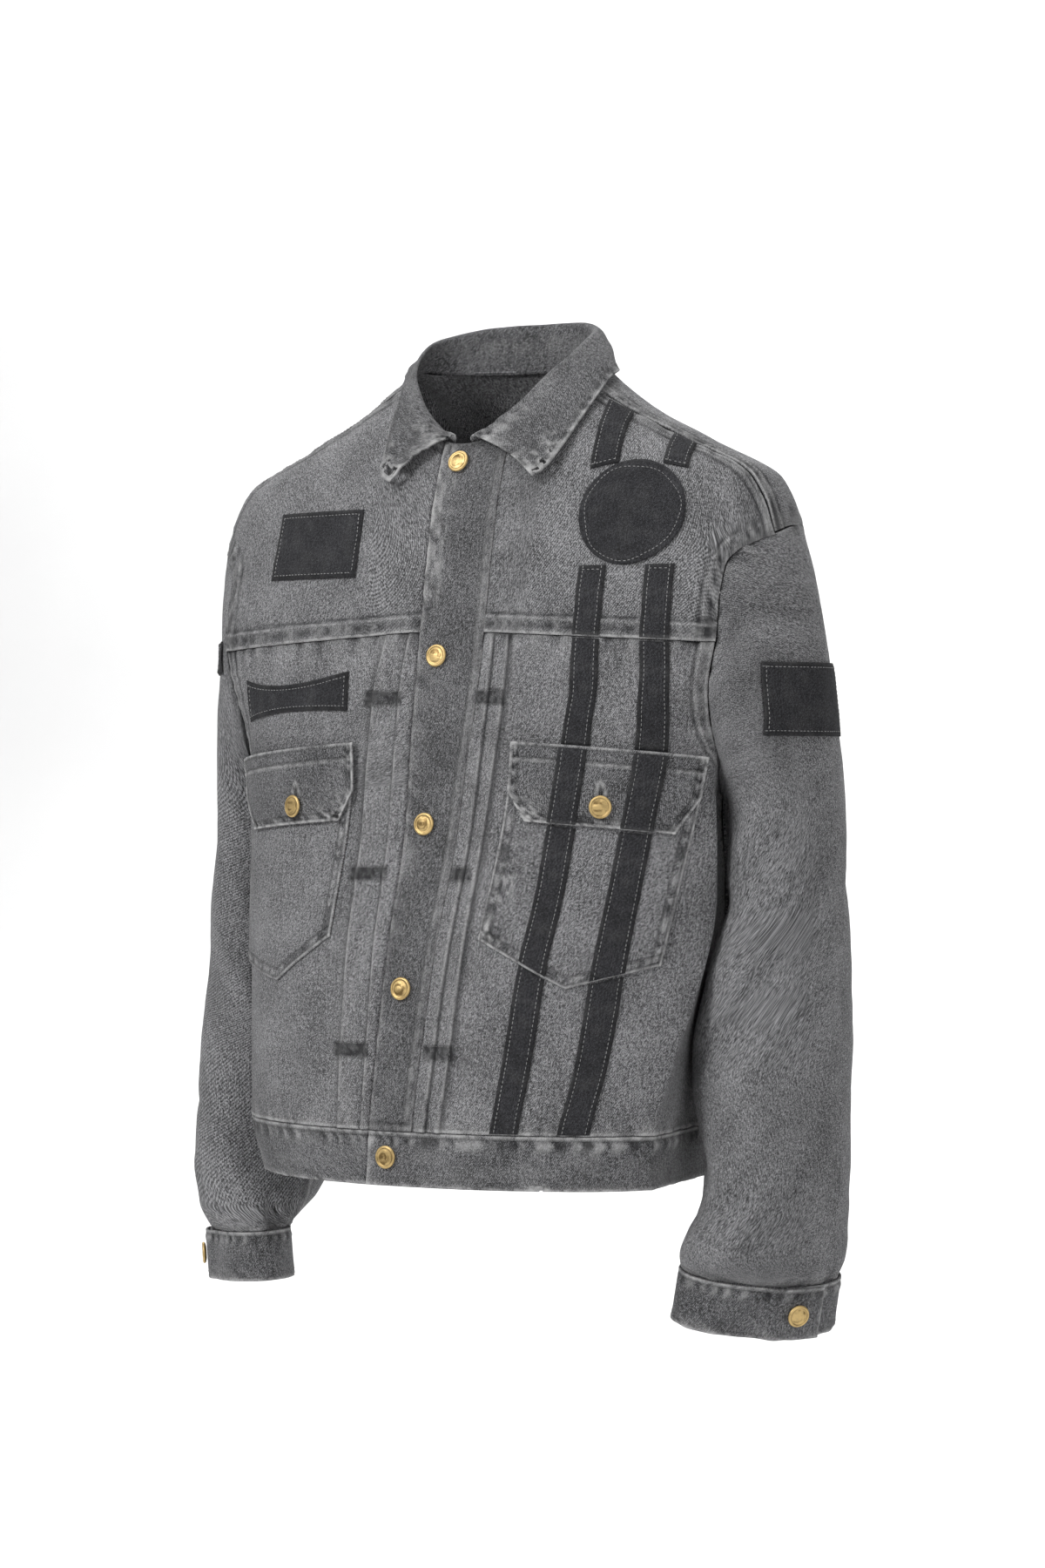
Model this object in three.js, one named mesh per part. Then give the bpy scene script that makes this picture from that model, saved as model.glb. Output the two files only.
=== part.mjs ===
// A worn denim jacket, hollow, in millimetres. +X is the wearer's left, -Y the front, +Z up.
// The origin is the middle of the neck opening, level with the top of the shoulders.
import * as THREE from 'three';

// Cloth and clearances
const CLOTH = 1.8;
const BAND_CLOTH = 2.2;
const PATCH_CLOTH = 0.8;
const POCKET_CLOTH = 1.4;
const FLAP_CLOTH = 1.6;
const SEAM_GAP = 0.3;
const LAP = 2.4;
const SLEEVE_CLEARANCE = 2;
const PLACKET_LIFT = 0.7;
const BAND_LIFT = 0.4;
const BAND_UNDER = LAP + 1.4;

// Heights
const HEM_Z = -618;
const BAND_TOP_Z = -578;
const BACK_SEAM_Z = -175;
const YOKE_SEAM = { middle: -209, end: -220 };

// Rays over the shoulders start from these levels, in front and behind
const FRONT_RAYS_Z = -235;
const BACK_RAYS_Z = -190;

// Neckline: an oval in plan
const NECK = { half: 80, front: 62, back: 52 };
const SHOULDER_SEAM_Y = -22;

// Horizontal sections of the body: half width, depth in front and behind, and how square they are
const TORSO = {
  columns: ['z', 'half', 'front', 'back', 'power'],
  rows: [
    [-2, 78, 16, 50, 2],
    [-20, 98, 38, 64, 2],
    [-45, 134, 52, 79, 2.05],
    [-65, 172, 61, 88, 2.1],
    [-97, 231, 73, 98, 2.1],
    [-133, 246, 83, 106, 2.05],
    [-155, 248, 87, 111, 2.3],
    [-190, 245, 93, 116, 2.7],
    [-218, 240, 98, 119, 2.9],
    [-300, 214, 108, 121, 2.45],
    [-353, 213, 112, 121, 2.3],
    [-452, 210, 132, 120, 2.25],
    [-524, 207, 141, 119, 2.25],
    [-582, 203, 147, 118, 2.25],
    [-618, 190, 148, 114, 2.25],
  ],
};

// The pinch in each side where the arm lies: depth, middle, and reach forward on each side and back
const TUCK = {
  columns: ['z', 'depth', 'middle', 'left', 'right', 'rear'],
  rows: [
    [-240, 0, 5, 66, 66, 60],
    [-300, 18, 5, 50, 50, 60],
    [-345, 32, 12, 54, 54, 66],
    [-411, 29, 16, 58, 58, 68],
    [-466, 38, 18, 72, 62, 72],
    [-528, 46, 18, 92, 68, 74],
    [-582, 42, 16, 102, 66, 74],
    [-618, 34, 14, 92, 60, 70],
  ],
};

// The closure: the button line, and the placket's inner edge measured from it
const CLOSURE = {
  columns: ['z', 'line', 'inner'],
  rows: [
    [-60, 0, 38],
    [-218, 0, 38],
    [-353, -3, 28],
    [-474, -9, 23],
    [-578, -14, 20],
    [-618, -16, 20],
  ],
};
const PLACKET_LAP = 17;
const PLACKET_ROWS_Z = [-100, -140, -180, -215, -250, -300, -353, -400, -440, -474, -510, -545];
const UNDERLAP = 15;

// Pressed pleats: folded edges, outward from the button line, on the left and the right front
const PLEATS = {
  columns: ['z', 'left1', 'left2', 'right1', 'right2'],
  rows: [
    [-215, 47, 60, 25, 44],
    [-259, 46, 59, 30, 53],
    [-390, 38, 49, 31, 56],
    [-520, 33, 46, 26, 50],
    [-578, 31, 43, 24, 46],
  ],
};
const PLEAT_RISE = 2.6;
const PLEAT_STEP = 1.2;

// Soft troughs across the body: from one end to the other, half width and depth (minus is a ridge)
const FRONT_FOLDS = [
  { from: [196, -232], to: [84, -268], half: 15, depth: 3.2 },
  { from: [188, -392], to: [150, -560], half: 15, depth: 4.5 },
  { from: [152, -470], to: [118, -566], half: 12, depth: 3 },
  { from: [-188, -238], to: [-96, -262], half: 14, depth: 2.6 },
  { from: [-186, -420], to: [-160, -566], half: 15, depth: 4 },
  { from: [-150, -470], to: [-104, -560], half: 13, depth: 3 },
];
const BACK_FOLDS = [
  { from: [176, -238], to: [92, -330], half: 17, depth: 5 },
  { from: [-172, -230], to: [-84, -318], half: 16, depth: 4.4 },
  { from: [150, -350], to: [118, -560], half: 20, depth: 6 },
  { from: [-140, -372], to: [-128, -562], half: 18, depth: 5.4 },
  { from: [58, -420], to: [44, -570], half: 18, depth: 4.6 },
  { from: [-46, -396], to: [-60, -566], half: 20, depth: 5 },
];

// Armhole: its points in side view, from the shoulder tip round the front to the back
const ARMHOLE = [
  [0, -133],
  [-22, -140],
  [-37, -147],
  [-46, -154],
  [-53, -165],
  [-60, -190],
  [-64, -220],
  [-62, -250],
  [-52, -280],
  [-38, -303],
  [-18, -321],
  [5, -330],
  [27, -324],
  [46, -308],
  [60, -282],
  [70, -250],
  [75, -215],
  [74, -175],
  [66, -157],
  [50, -143],
  [26, -135.5],
];
const SHOULDER_SEAM_AT = 1;
const YOKE_SEAM_AT = 6;
const UNDERARM_AT = 11;
const BACK_SEAM_AT = 17;

// Sleeve sections: middle, long and short half axes, and the long axis turned from +X to the back
const SLEEVE = {
  columns: ['z', 'x', 'y', 'long', 'short', 'turn'],
  rows: [
    [-352, 228, 25, 60, 38, 90],
    [-411, 228, 23, 64, 40.5, 90],
    [-466, 222, 20, 68, 49, 85],
    [-528, 218, 16, 70, 58, 88],
    [-566, 223, 12, 68, 53.5, 88],
    [-633, 227, 8, 67, 49, 85],
    [-665, 225, -3, 69, 45, 68],
    [-680, 225, -11, 66, 37, 54],
    [-689.6, 225, -14, 61, 29, 47],
  ],
};
const CUFF = { x: 225, y: -14.5, height: 38, long: 62, short: 30, turn: 46 };

// How each cuff sits: its top above its middle, and the slope of that top outward and backward
const CUFF_SET = {
  left: { top: -680, outward: -0.25, backward: 0.168 },
  right: { top: -673, outward: -0.07, backward: 0 },
};
const FOREARM_Z = -566;
const WRIST_Z = -689.6;
const CUFF_OVER = 3.4;
const CUFF_OVER_END = -0.035;
const CUFF_BUTTON_AT = 0.035;
const CAP_ROWS = 7;
const SLEEVE_PATCH = {
  left: { top: -234, bottom: -288, rearShare: -0.06, frontShares: [0.12, 0.14, 0.155, 0.17, 0.19] },
  right: { top: -212, bottom: -237, rearShare: 0.03, frontShares: [0.19, 0.2, 0.21, 0.22, 0.23] },
};

// Soft troughs on a sleeve: distance round it from the outer edge to the front, and height
const SLEEVE_ROUND = 340;
const SLEEVE_FOLDS = [
  { from: [0.12 * SLEEVE_ROUND, -210], to: [0.32 * SLEEVE_ROUND, -330], half: 15, depth: 4 },
  { from: [0.3 * SLEEVE_ROUND, -400], to: [0.52 * SLEEVE_ROUND, -452], half: 14, depth: 5 },
  { from: [0.62 * SLEEVE_ROUND, -440], to: [0.86 * SLEEVE_ROUND, -500], half: 16, depth: 5 },
  { from: [0.14 * SLEEVE_ROUND, -486], to: [0.42 * SLEEVE_ROUND, -540], half: 14, depth: 4.5 },
  { from: [0.5 * SLEEVE_ROUND, -560], to: [0.3 * SLEEVE_ROUND, -628], half: 14, depth: 4 },
  { from: [0.66 * SLEEVE_ROUND, -580], to: [0.9 * SLEEVE_ROUND, -640], half: 15, depth: 4.5 },
];

// Collar: neck seam (in plan), fold and outer edge, from a front end to the middle of the back
const COLLAR = {
  columns: ['seamX', 'seamY', 'foldX', 'foldY', 'foldZ', 'edgeX', 'edgeY', 'edgeZ'],
  rows: [
    [10, -61.5, 9, -64, -60, 70, -82, -95],
    [21, -59.8, 20, -61, -55, 79, -77, -89],
    [34, -56.1, 33, -56, -45, 87, -66, -73],
    [48, -49.6, 46, -48, -32, 93, -51, -54],
    [62, -39.2, 59, -36, -14, 98, -34, -35],
    [72, -27, 67, -22, -2, 101, -16, -18],
    [78.5, -12, 71, -6, 10, 98, 2, -12],
    [79, 8, 71, 12, 20, 86, 21, -9],
    [70, 25.2, 61, 30, 27, 74, 40, -7],
    [50, 40.6, 44, 44, 32, 59, 60, -7],
    [26, 49.2, 23, 52, 34, 30, 71, -8],
    [0, 52, 0, 54, 34, 0, 75, -8],
  ],
};
const RIGHT_PULL = [16, 14, 18, 20, 24, 20, 10, 6, 4, 3, 2];
const COLLAR_CLEARANCE = 3.5;
const COLLAR_ROLL = 3.6;
const COLLAR_BULGE = 4.5;
const COLLAR_INSET = 4.4;

// Pockets and flaps: inner and outer x, with the heights of their corners
const POCKET = {
  left: { inTop: 67, outTop: 199, inLow: 51, outLow: 176, tip: 118, outZ: -455 },
  right: { inTop: 69, outTop: 201, inLow: 80, outLow: 201, tip: 136, outZ: -459 },
  top: -312,
  sideZ: -455,
  inZ: -437,
  tipZ: -472,
};
const FLAP = {
  columns: ['row', 'inX', 'outX', 'inZ', 'outZ'],
  rows: [
    [0, 68, 199, -292, -303],
    [1, 67, 197, -311, -319],
    [2, 66, 195, -328, -334],
    [3, 80, 181, -351, -360],
  ],
};
const RIGHT_FLAP_LOW = [3, 80, 177, -351, -358.5];
const POCKET_OUT = 2.4;
const FLAP_OUT = 5.3;

// How far out a patch's own face lies from the front, and how far it clears a pocket, flap or sleeve
const SKIN = 3 * SEAM_GAP + PATCH_CLOTH;
const OVER = 0.5;
const SLEEVE_PATCH_OUT = SKIN + 0.7;

// Buttons: radius and height, and where they sit
const BUTTON = { radius: 8.5, height: 3.4, sides: 20 };
const FRONT_BUTTON_Z = [-82, -228, -353, -474, -597];
const FLAP_BUTTON = { left: 135, right: 125, z: -340 };
const BUTTON_OUT = { front: 1.15, band: 0.4, cuff: 0.5, flap: FLAP_OUT + OVER };

// Long strips down the left front: the middle line of each, and the width
const STRIP_WIDTH = 21;
const STRIPS = {
  columns: ['z', 'a', 'b'],
  rows: [
    [-163, 121.5, 171.5],
    [-219, 122, 173],
    [-296, 115.5, 168],
    [-355, 107, 158.5],
    [-411, 101.5, 151.5],
    [-462, 93.5, 145],
    [-523, 86.5, 137],
    [-578, 79, 127],
  ],
};

// Short strips from the left shoulder seam: inner x, lean, width, and the lower end's two heights
const SHORT_STRIPS = {
  a: { x: 104, lean: 5.5, width: 21, inLow: -91, outLow: -86.5 },
  b: { x: 158.5, lean: 4, width: 19, inLow: -87.5, outLow: -92 },
};

// Whole patches: the square's sides, the waisted one's heights and rise at its middle, and the disc
const SQUARE_PATCH = { outX: -165, inX: -80, top: -115, low: -167 };
const WAISTED_PATCH = {
  outX: -186,
  inX: -78,
  columns: ['outZ', 'inZ', 'rise'],
  rows: [
    [-243, -238, -7],
    [-253, -249, -4],
    [-265, -257, 0],
    [-275, -268, 3],
  ],
};
const DISC_PATCH = { x: 145, z: -124, radius: 39 };

const BRASS_FINISH = { roughness: 0.4, metalness: 0.9 };
const COLOURS = {
  denim: 0x63666a,
  yoke: 0x6a6d71,
  trim: 0x5b5e62,
  patch: 0x35373b,
  brass: 0xc9a24e,
};

// Reading a table

function curve(table, name) {
  const column = table.columns.indexOf(name);
  const rows = [...table.rows].sort((a, b) => a[0] - b[0]);
  const at = rows.map((row) => row[0]);
  const value = rows.map((row) => row[column]);
  const last = at.length - 1;
  const rise = (i) => (value[i + 1] - value[i]) / (at[i + 1] - at[i]);
  const slope = at.map((_, i) => {
    if (i === 0) return rise(0);
    if (i === last) return rise(last - 1);
    const product = rise(i - 1) * rise(i);
    return product <= 0 ? 0 : (2 * product) / (rise(i - 1) + rise(i));
  });
  return (where) => {
    const x = Math.min(Math.max(where, at[0]), at[last]);
    let i = 0;
    while (i < last - 1 && x > at[i + 1]) i += 1;
    const span = at[i + 1] - at[i];
    const t = (x - at[i]) / span;
    const h = t * t * (3 - 2 * t);
    const a = t * (1 - t) * (1 - t);
    const b = t * t * (t - 1);
    return value[i] * (1 - h) + value[i + 1] * h + span * (a * slope[i] + b * slope[i + 1]);
  };
}

const lerp = (a, b, t) => a + (b - a) * t;
const mix = (a, b, t) => a.map((v, i) => lerp(v, b[i], t));
const add = (a, b, scale = 1) => a.map((v, i) => v + b[i] * scale);
const minus = (a, b) => a.map((v, i) => v - b[i]);
const length = (a) => Math.hypot(...a);
const unit = (a) => a.map((v) => v / (length(a) || 1));
const cross = (a, b) => [
  a[1] * b[2] - a[2] * b[1],
  a[2] * b[0] - a[0] * b[2],
  a[0] * b[1] - a[1] * b[0],
];
const steps = (count, from = 0, to = 1) =>
  Array.from({ length: count + 1 }, (_, i) => lerp(from, to, i / count));

// The body's surface

const halfWidth = curve(TORSO, 'half');
const frontDepth = curve(TORSO, 'front');
const backDepth = curve(TORSO, 'back');
const power = curve(TORSO, 'power');
const tuckDepth = curve(TUCK, 'depth');
const tuckMiddle = curve(TUCK, 'middle');
const tuckReach = { 1: curve(TUCK, 'left'), '-1': curve(TUCK, 'right') };
const tuckRear = curve(TUCK, 'rear');
const closureLine = curve(CLOSURE, 'line');
const placketInner = curve(CLOSURE, 'inner');

function tuck(side, y, z) {
  const from = y - tuckMiddle(z);
  const t = from / (from < 0 ? tuckReach[side](z) : tuckRear(z));
  return Math.abs(t) < 1 ? tuckDepth(z) * (1 - t * t) : 0;
}

function trough(folds, across, z) {
  let depth = 0;
  for (const fold of folds) {
    const run = [fold.to[0] - fold.from[0], fold.to[1] - fold.from[1]];
    const off = [across - fold.from[0], z - fold.from[1]];
    const along = (off[0] * run[0] + off[1] * run[1]) / (run[0] ** 2 + run[1] ** 2);
    const t = Math.min(Math.max(along, 0), 1);
    const away = Math.hypot(off[0] - run[0] * t, off[1] - run[1] * t) / fold.half;
    depth += fold.depth * Math.exp(-away * away) * (1 - (2 * t - 1) ** 4);
  }
  return depth;
}

// A section's point at an angle: 0 is the wearer's left, -90 degrees the front, 90 the back
function sectionPoint(angle, z) {
  const root = 2 / power(z);
  const c = Math.cos(angle);
  const s = Math.sin(angle);
  const side = c < 0 ? -1 : 1;
  const x = side * Math.abs(c) ** root * halfWidth(z);
  const plainY = s < 0 ? -(Math.abs(s) ** root) * frontDepth(z) : s ** root * backDepth(z);
  const y = plainY + (s < 0 ? trough(FRONT_FOLDS, x, z) : -trough(BACK_FOLDS, x, z)) * Math.abs(s);
  return [x - side * tuck(side, plainY, z), y, z];
}

const angleAtX = (x, z) => {
  const ratio = Math.min(Math.abs(x) / halfWidth(z), 1);
  return Math.acos(Math.sign(x) * ratio ** (power(z) / 2));
};
const angleAtY = (y, z) => {
  const ratio = Math.min(Math.abs(y) / (y < 0 ? frontDepth(z) : backDepth(z)), 1);
  return Math.sign(y) * Math.asin(ratio ** (power(z) / 2));
};
const frontPoint = (x, z) => sectionPoint(-angleAtX(x, z), z);
const armholePoint = ([y, z]) => sectionPoint(angleAtY(y, z), z);

function outsideness(x, y, z) {
  const n = power(z);
  const depth = y < 0 ? frontDepth(z) : backDepth(z);
  return (Math.abs(x) / halfWidth(z)) ** n + (Math.abs(y) / depth) ** n - 1;
}

function bisect(low, high, isInside) {
  let [a, b] = [low, high];
  for (let i = 0; i < 40; i += 1) {
    const middle = (a + b) / 2;
    if (isInside(middle)) a = middle;
    else b = middle;
  }
  return a;
}

// The height of the shoulders above a place in plan
const shoulderZ = (x, y) => bisect(-200, -2, (z) => outsideness(x, y, z) < 0);
const neckY = (x, facing) => {
  const reach = facing < 0 ? NECK.front : NECK.back;
  return facing * reach * Math.sqrt(Math.max(1 - (x / NECK.half) ** 2, 0));
};
const neckZ = (x) => shoulderZ(x, neckY(x, -1));
const yokeSeamZ = (x) => lerp(YOKE_SEAM.middle, YOKE_SEAM.end, Math.min(Math.abs(x) / 205, 1));

// A point over the shoulder at one x, on a ray from a level middle line
function overShoulder(x, angle, middleZ, facing) {
  const at = (r) => [x, facing * r * Math.cos(angle), middleZ + r * Math.sin(angle)];
  const reach = bisect(0, 330, (r) => at(r)[2] < -2 && outsideness(...at(r)) < 0);
  const point = at(reach);
  const folds = point[1] < 0 ? trough(FRONT_FOLDS, x, point[2]) : -trough(BACK_FOLDS, x, point[2]);
  return [point[0], point[1] + folds * Math.abs(Math.cos(angle)), point[2]];
}

// Solids

function normalsOf(grid, closed) {
  const rows = grid.length;
  const columns = grid[0].length;
  return grid.map((row, i) =>
    row.map((_, j) => {
      const left = closed ? (j + columns - 1) % columns : Math.max(j - 1, 0);
      const right = closed ? (j + 1) % columns : Math.min(j + 1, columns - 1);
      const down = minus(grid[Math.min(i + 1, rows - 1)][j], grid[Math.max(i - 1, 0)][j]);
      return unit(cross(down, minus(row[right], row[left])));
    }),
  );
}

// A closed shell from rows of points that go down, each row turning left round the body
function shell(grid, wall, { closed = false, lift = 0 } = {}) {
  const rows = grid.length;
  const columns = grid[0].length;
  const normals = normalsOf(grid, closed);
  const outer = grid.map((row, i) => row.map((p, j) => add(p, normals[i][j], lift)));
  const inner = grid.map((row, i) => row.map((p, j) => add(p, normals[i][j], lift - wall)));
  const at = (layer, i, j) => layer * rows * columns + i * columns + (j % columns);
  const faces = [];
  const quad = (a, b, c, d) => faces.push(a, b, c, a, c, d);
  const spans = closed ? columns : columns - 1;
  for (let i = 0; i < rows - 1; i += 1) {
    for (let j = 0; j < spans; j += 1) {
      quad(at(0, i, j), at(0, i + 1, j), at(0, i + 1, j + 1), at(0, i, j + 1));
      quad(at(1, i, j), at(1, i, j + 1), at(1, i + 1, j + 1), at(1, i + 1, j));
    }
  }
  for (let j = 0; j < spans; j += 1) {
    quad(at(0, 0, j), at(0, 0, j + 1), at(1, 0, j + 1), at(1, 0, j));
    quad(at(0, rows - 1, j + 1), at(0, rows - 1, j), at(1, rows - 1, j), at(1, rows - 1, j + 1));
  }
  for (let i = 0; !closed && i < rows - 1; i += 1) {
    quad(at(0, i + 1, 0), at(0, i, 0), at(1, i, 0), at(1, i + 1, 0));
    const end = columns - 1;
    quad(at(0, i, end), at(0, i + 1, end), at(1, i + 1, end), at(1, i, end));
  }
  const geometry = new THREE.BufferGeometry();
  geometry.setAttribute('position', new THREE.Float32BufferAttribute([...outer, ...inner].flat(2), 3));
  geometry.setIndex(faces);
  return geometry;
}

const mirrored = (grid) => grid.map((row) => row.map(([x, y, z]) => [-x, y, z]).reverse());

// Front panels

// One row across a front, from the closure to the outer edge, the pleats marked by close pairs
function frontRow(side, z, outerAngle, columns, heightAt = () => z) {
  const line = closureLine(z) * side;
  const name = side > 0 ? 'left' : 'right';
  const folds = [1, 2].map((k) => line + curve(PLEATS, name + k)(z));
  const start = side > 0 ? line + placketInner(z) + SEAM_GAP : line - UNDERLAP;
  const lap = line + PLACKET_LAP + 1.2;
  const marks = side > 0 ? [[start, 0]] : [[start, -LAP], [line + 2, -LAP], [lap, -LAP], [lap + 2.4, 0]];
  const outermost = folds[1] + PLEAT_STEP;
  for (const fold of folds) marks.push([fold, PLEAT_RISE], [fold + PLEAT_STEP, 0.2]);
  const near = marks.map(([x, rise]) => {
    const height = heightAt(x);
    return [x, frontPoint(x * side, height)[1] - rise, height];
  });
  const from = -angleAtX(outermost, z);
  const far = steps(columns, from, outerAngle).slice(1);
  return [
    ...near,
    ...far.map((angle) => {
      const height = heightAt(sectionPoint(angle, z)[0]);
      const [x, y] = sectionPoint(side > 0 ? angle : -Math.PI - angle, height);
      return [x * side, y, height];
    }),
  ];
}

const withMirror = (grid, side) => (side > 0 ? grid : mirrored(grid));

function front(side) {
  const armhole = ARMHOLE.slice(YOKE_SEAM_AT, UNDERARM_AT + 1);
  const lower = steps(7, -330, BAND_TOP_Z + SEAM_GAP).slice(1);
  const heights = [...armhole.map(([, z]) => z), ...lower];
  const grid = heights.map((z, row) => {
    const edgeY = row < armhole.length ? armhole[row][0] - SEAM_GAP : tuckMiddle(z) - SEAM_GAP;
    const heightAt = row === 0 ? (x) => yokeSeamZ(x) - SEAM_GAP : () => z;
    return frontRow(side, z, angleAtY(edgeY, z), 10, heightAt);
  });
  const edge = armholePoint(armhole[0]);
  grid[0][grid[0].length - 1] = [edge[0], edge[1] - SEAM_GAP, edge[2] - SEAM_GAP];
  return withMirror(grid, side);
}

// Points along part of the armhole, with the middle of each span
function armholeRun(from, to) {
  const step = Math.sign(to - from);
  const count = ARMHOLE.length;
  const points = [];
  for (let k = from; k !== to; k += step) {
    const here = armholePoint(ARMHOLE[(k + count) % count]);
    const next = armholePoint(ARMHOLE[(k + step + count) % count]);
    points.push(here, mix(here, next, 0.5));
  }
  points.push(armholePoint(ARMHOLE[(to + count) % count]));
  return points;
}

function frontYoke(side) {
  const edge = armholeRun(SHOULDER_SEAM_AT, YOKE_SEAM_AT);
  const angleOf = ([, y, z]) => Math.atan2(z - FRONT_RAYS_Z, -y);
  const inner = side > 0 ? placketInner(-150) + SEAM_GAP : -UNDERLAP;
  const lap = PLACKET_LAP + 3.6;
  const starts = side > 0 ? [inner] : [inner, 2, PLACKET_LAP + 1.2, lap];
  const columns = [...starts.map((x) => [x, 0]), ...steps(12).slice(1).map((s) => [starts.at(-1), s])];
  const grid = edge.map(() => []);
  columns.forEach(([startX, s]) => {
    const topX = lerp(startX, edge[0][0], s);
    const topY = Math.min(Math.abs(topX) < NECK.half ? neckY(topX, -1) : 0, SHOULDER_SEAM_Y);
    const top = angleOf([topX, topY - 3 * SEAM_GAP, shoulderZ(topX, topY)]);
    const lowX = lerp(startX, edge.at(-1)[0], s);
    const lowZ = yokeSeamZ(lowX) + SEAM_GAP;
    const low = angleOf([lowX, frontPoint(lowX * side, lowZ)[1], lowZ]);
    const edgeTop = angleOf(edge[0]);
    const edgeLow = angleOf(edge.at(-1));
    edge.forEach((point, i) => {
      const even = i / (edge.length - 1);
      const asEdge = (edgeTop - angleOf(point)) / (edgeTop - edgeLow);
      const angle = lerp(top, low, lerp(even, asEdge, s * s));
      const x = lerp(startX, point[0], s);
      const [, y, z] = overShoulder(x, angle, FRONT_RAYS_Z, -1);
      const isLap = side < 0 && s === 0 && startX < lap;
      const atEdge = add(point, [0, -1.5 * SEAM_GAP, 0.9 * SEAM_GAP * even]);
      grid[i].push(s === 1 ? atEdge : [x, y + (isLap ? LAP : 0), z]);
    });
  });
  return withMirror(grid, side);
}

// Columns of the back yoke, as shares of its half width, one just outside the side of the neck
const BACK_COLUMNS = [
  1, 0.92, 0.84, 0.76, 0.68, 0.6, 0.52, 0.45, 0.385, 0.333, 0.312, 0.28, 0.22, 0.15, 0.075,
];

function backYoke() {
  const edge = armholeRun(SHOULDER_SEAM_AT, BACK_SEAM_AT - ARMHOLE.length);
  const angleOf = ([, y, z]) => Math.atan2(z - BACK_RAYS_Z, y);
  const edgeTop = angleOf(edge[0]);
  const edgeLow = angleOf(edge.at(-1));
  const grid = edge.map(() => []);
  const shares = [...BACK_COLUMNS, 0, ...BACK_COLUMNS.map((s) => -s).reverse()];
  shares.forEach((s) => {
    const size = Math.abs(s);
    const topX = size * edge[0][0];
    const inNeck = topX < NECK.half;
    const topY = inNeck ? neckY(topX, 1) : SHOULDER_SEAM_Y;
    const top = angleOf([topX, topY + 2 * SEAM_GAP, shoulderZ(topX, topY)]);
    const lowX = size * edge.at(-1)[0];
    const lowY = sectionPoint(angleAtX(lowX, BACK_SEAM_Z), BACK_SEAM_Z)[1];
    const low = angleOf([lowX, lowY, BACK_SEAM_Z + SEAM_GAP]);
    edge.forEach((point, i) => {
      const even = i / (edge.length - 1);
      const asEdge = (edgeTop - angleOf(point)) / (edgeTop - edgeLow);
      const angle = lerp(top, low, lerp(even, asEdge, size ** 4));
      const x = s * point[0];
      const [, y, z] = overShoulder(x, angle, BACK_RAYS_Z, 1);
      grid[i].push(size === 1 ? [x, point[1] + 1.5 * SEAM_GAP, point[2] + 0.6 * SEAM_GAP] : [x, y, z]);
    });
  });
  return grid;
}

function back() {
  const armhole = ARMHOLE.slice(UNDERARM_AT, BACK_SEAM_AT + 1).reverse();
  const lower = steps(7, -330, BAND_TOP_Z + SEAM_GAP).slice(1);
  const heights = [...armhole.map(([, z]) => z), ...lower];
  return heights.map((z, row) => {
    const height = row === 0 ? z - SEAM_GAP : z;
    const edgeY = row < armhole.length ? armhole[row][0] + SEAM_GAP : tuckMiddle(z) + SEAM_GAP;
    const edge = angleAtY(edgeY, height);
    return steps(24, edge, Math.PI - edge).map((angle) => sectionPoint(angle, height));
  });
}

// Bands

function placket() {
  const heights = [0, ...PLACKET_ROWS_Z, BAND_TOP_Z + SEAM_GAP];
  return heights.map((z, row) =>
    steps(4).map((s) => {
      const level = row === 0 ? neckZ(20) : z;
      const x = closureLine(level) + lerp(-PLACKET_LAP, placketInner(level), s);
      const height = row === 0 ? neckZ(x) : z;
      return frontPoint(x, height);
    }),
  );
}

function waistband() {
  const heights = [BAND_TOP_Z - SEAM_GAP, -598, HEM_Z];
  return heights.map((z) => {
    const line = closureLine(z);
    const overEnd = -angleAtX(line - PLACKET_LAP, z);
    const roundEnd = -angleAtX(line - PLACKET_LAP - BAND_CLOTH, z) + 2 * Math.PI;
    const underStart = -angleAtX(line - PLACKET_LAP - SEAM_GAP, z) + 2 * Math.PI;
    const underEnd = -angleAtX(line + UNDERLAP, z) + 2 * Math.PI;
    const round = steps(46, overEnd, roundEnd).map((angle) => sectionPoint(angle, z));
    const under = steps(2, underStart, underEnd).map((angle) => {
      const [x, y] = sectionPoint(angle, z);
      return [x, y + BAND_UNDER, z];
    });
    return [...round, ...under];
  });
}

// Sleeves and cuffs

const sleeveX = curve(SLEEVE, 'x');
const sleeveY = curve(SLEEVE, 'y');
const sleeveLong = curve(SLEEVE, 'long');
const sleeveShort = curve(SLEEVE, 'short');
const sleeveTurn = curve(SLEEVE, 'turn');

// A turned oval, its share of a whole turn counted from the outer side to the front
function oval(x, y, long, short, turn, share) {
  const lean = THREE.MathUtils.degToRad(turn);
  const direction = -share * 2 * Math.PI;
  const phase = Math.atan2(Math.sin(direction - lean) / short, Math.cos(direction - lean) / long);
  const a = long * Math.cos(phase);
  const b = short * Math.sin(phase);
  return [x + a * Math.cos(lean) - b * Math.sin(lean), y + a * Math.sin(lean) + b * Math.cos(lean)];
}

function sleevePlain(share, z) {
  const [x, y] = oval(sleeveX(z), sleeveY(z), sleeveLong(z), sleeveShort(z), sleeveTurn(z), share);
  const middle = [sleeveX(z), sleeveY(z)];
  const out = unit([x - middle[0], y - middle[1]]);
  const depth = trough(SLEEVE_FOLDS, share * SLEEVE_ROUND, z);
  return [x - out[0] * depth, y - out[1] * depth, z];
}

function torsoSideX(side, y, z) {
  const ratio = Math.min(Math.abs(y) / (y < 0 ? frontDepth(z) : backDepth(z)), 1);
  return halfWidth(z) * (1 - ratio ** power(z)) ** (1 / power(z)) - tuck(side, y, z);
}

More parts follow.
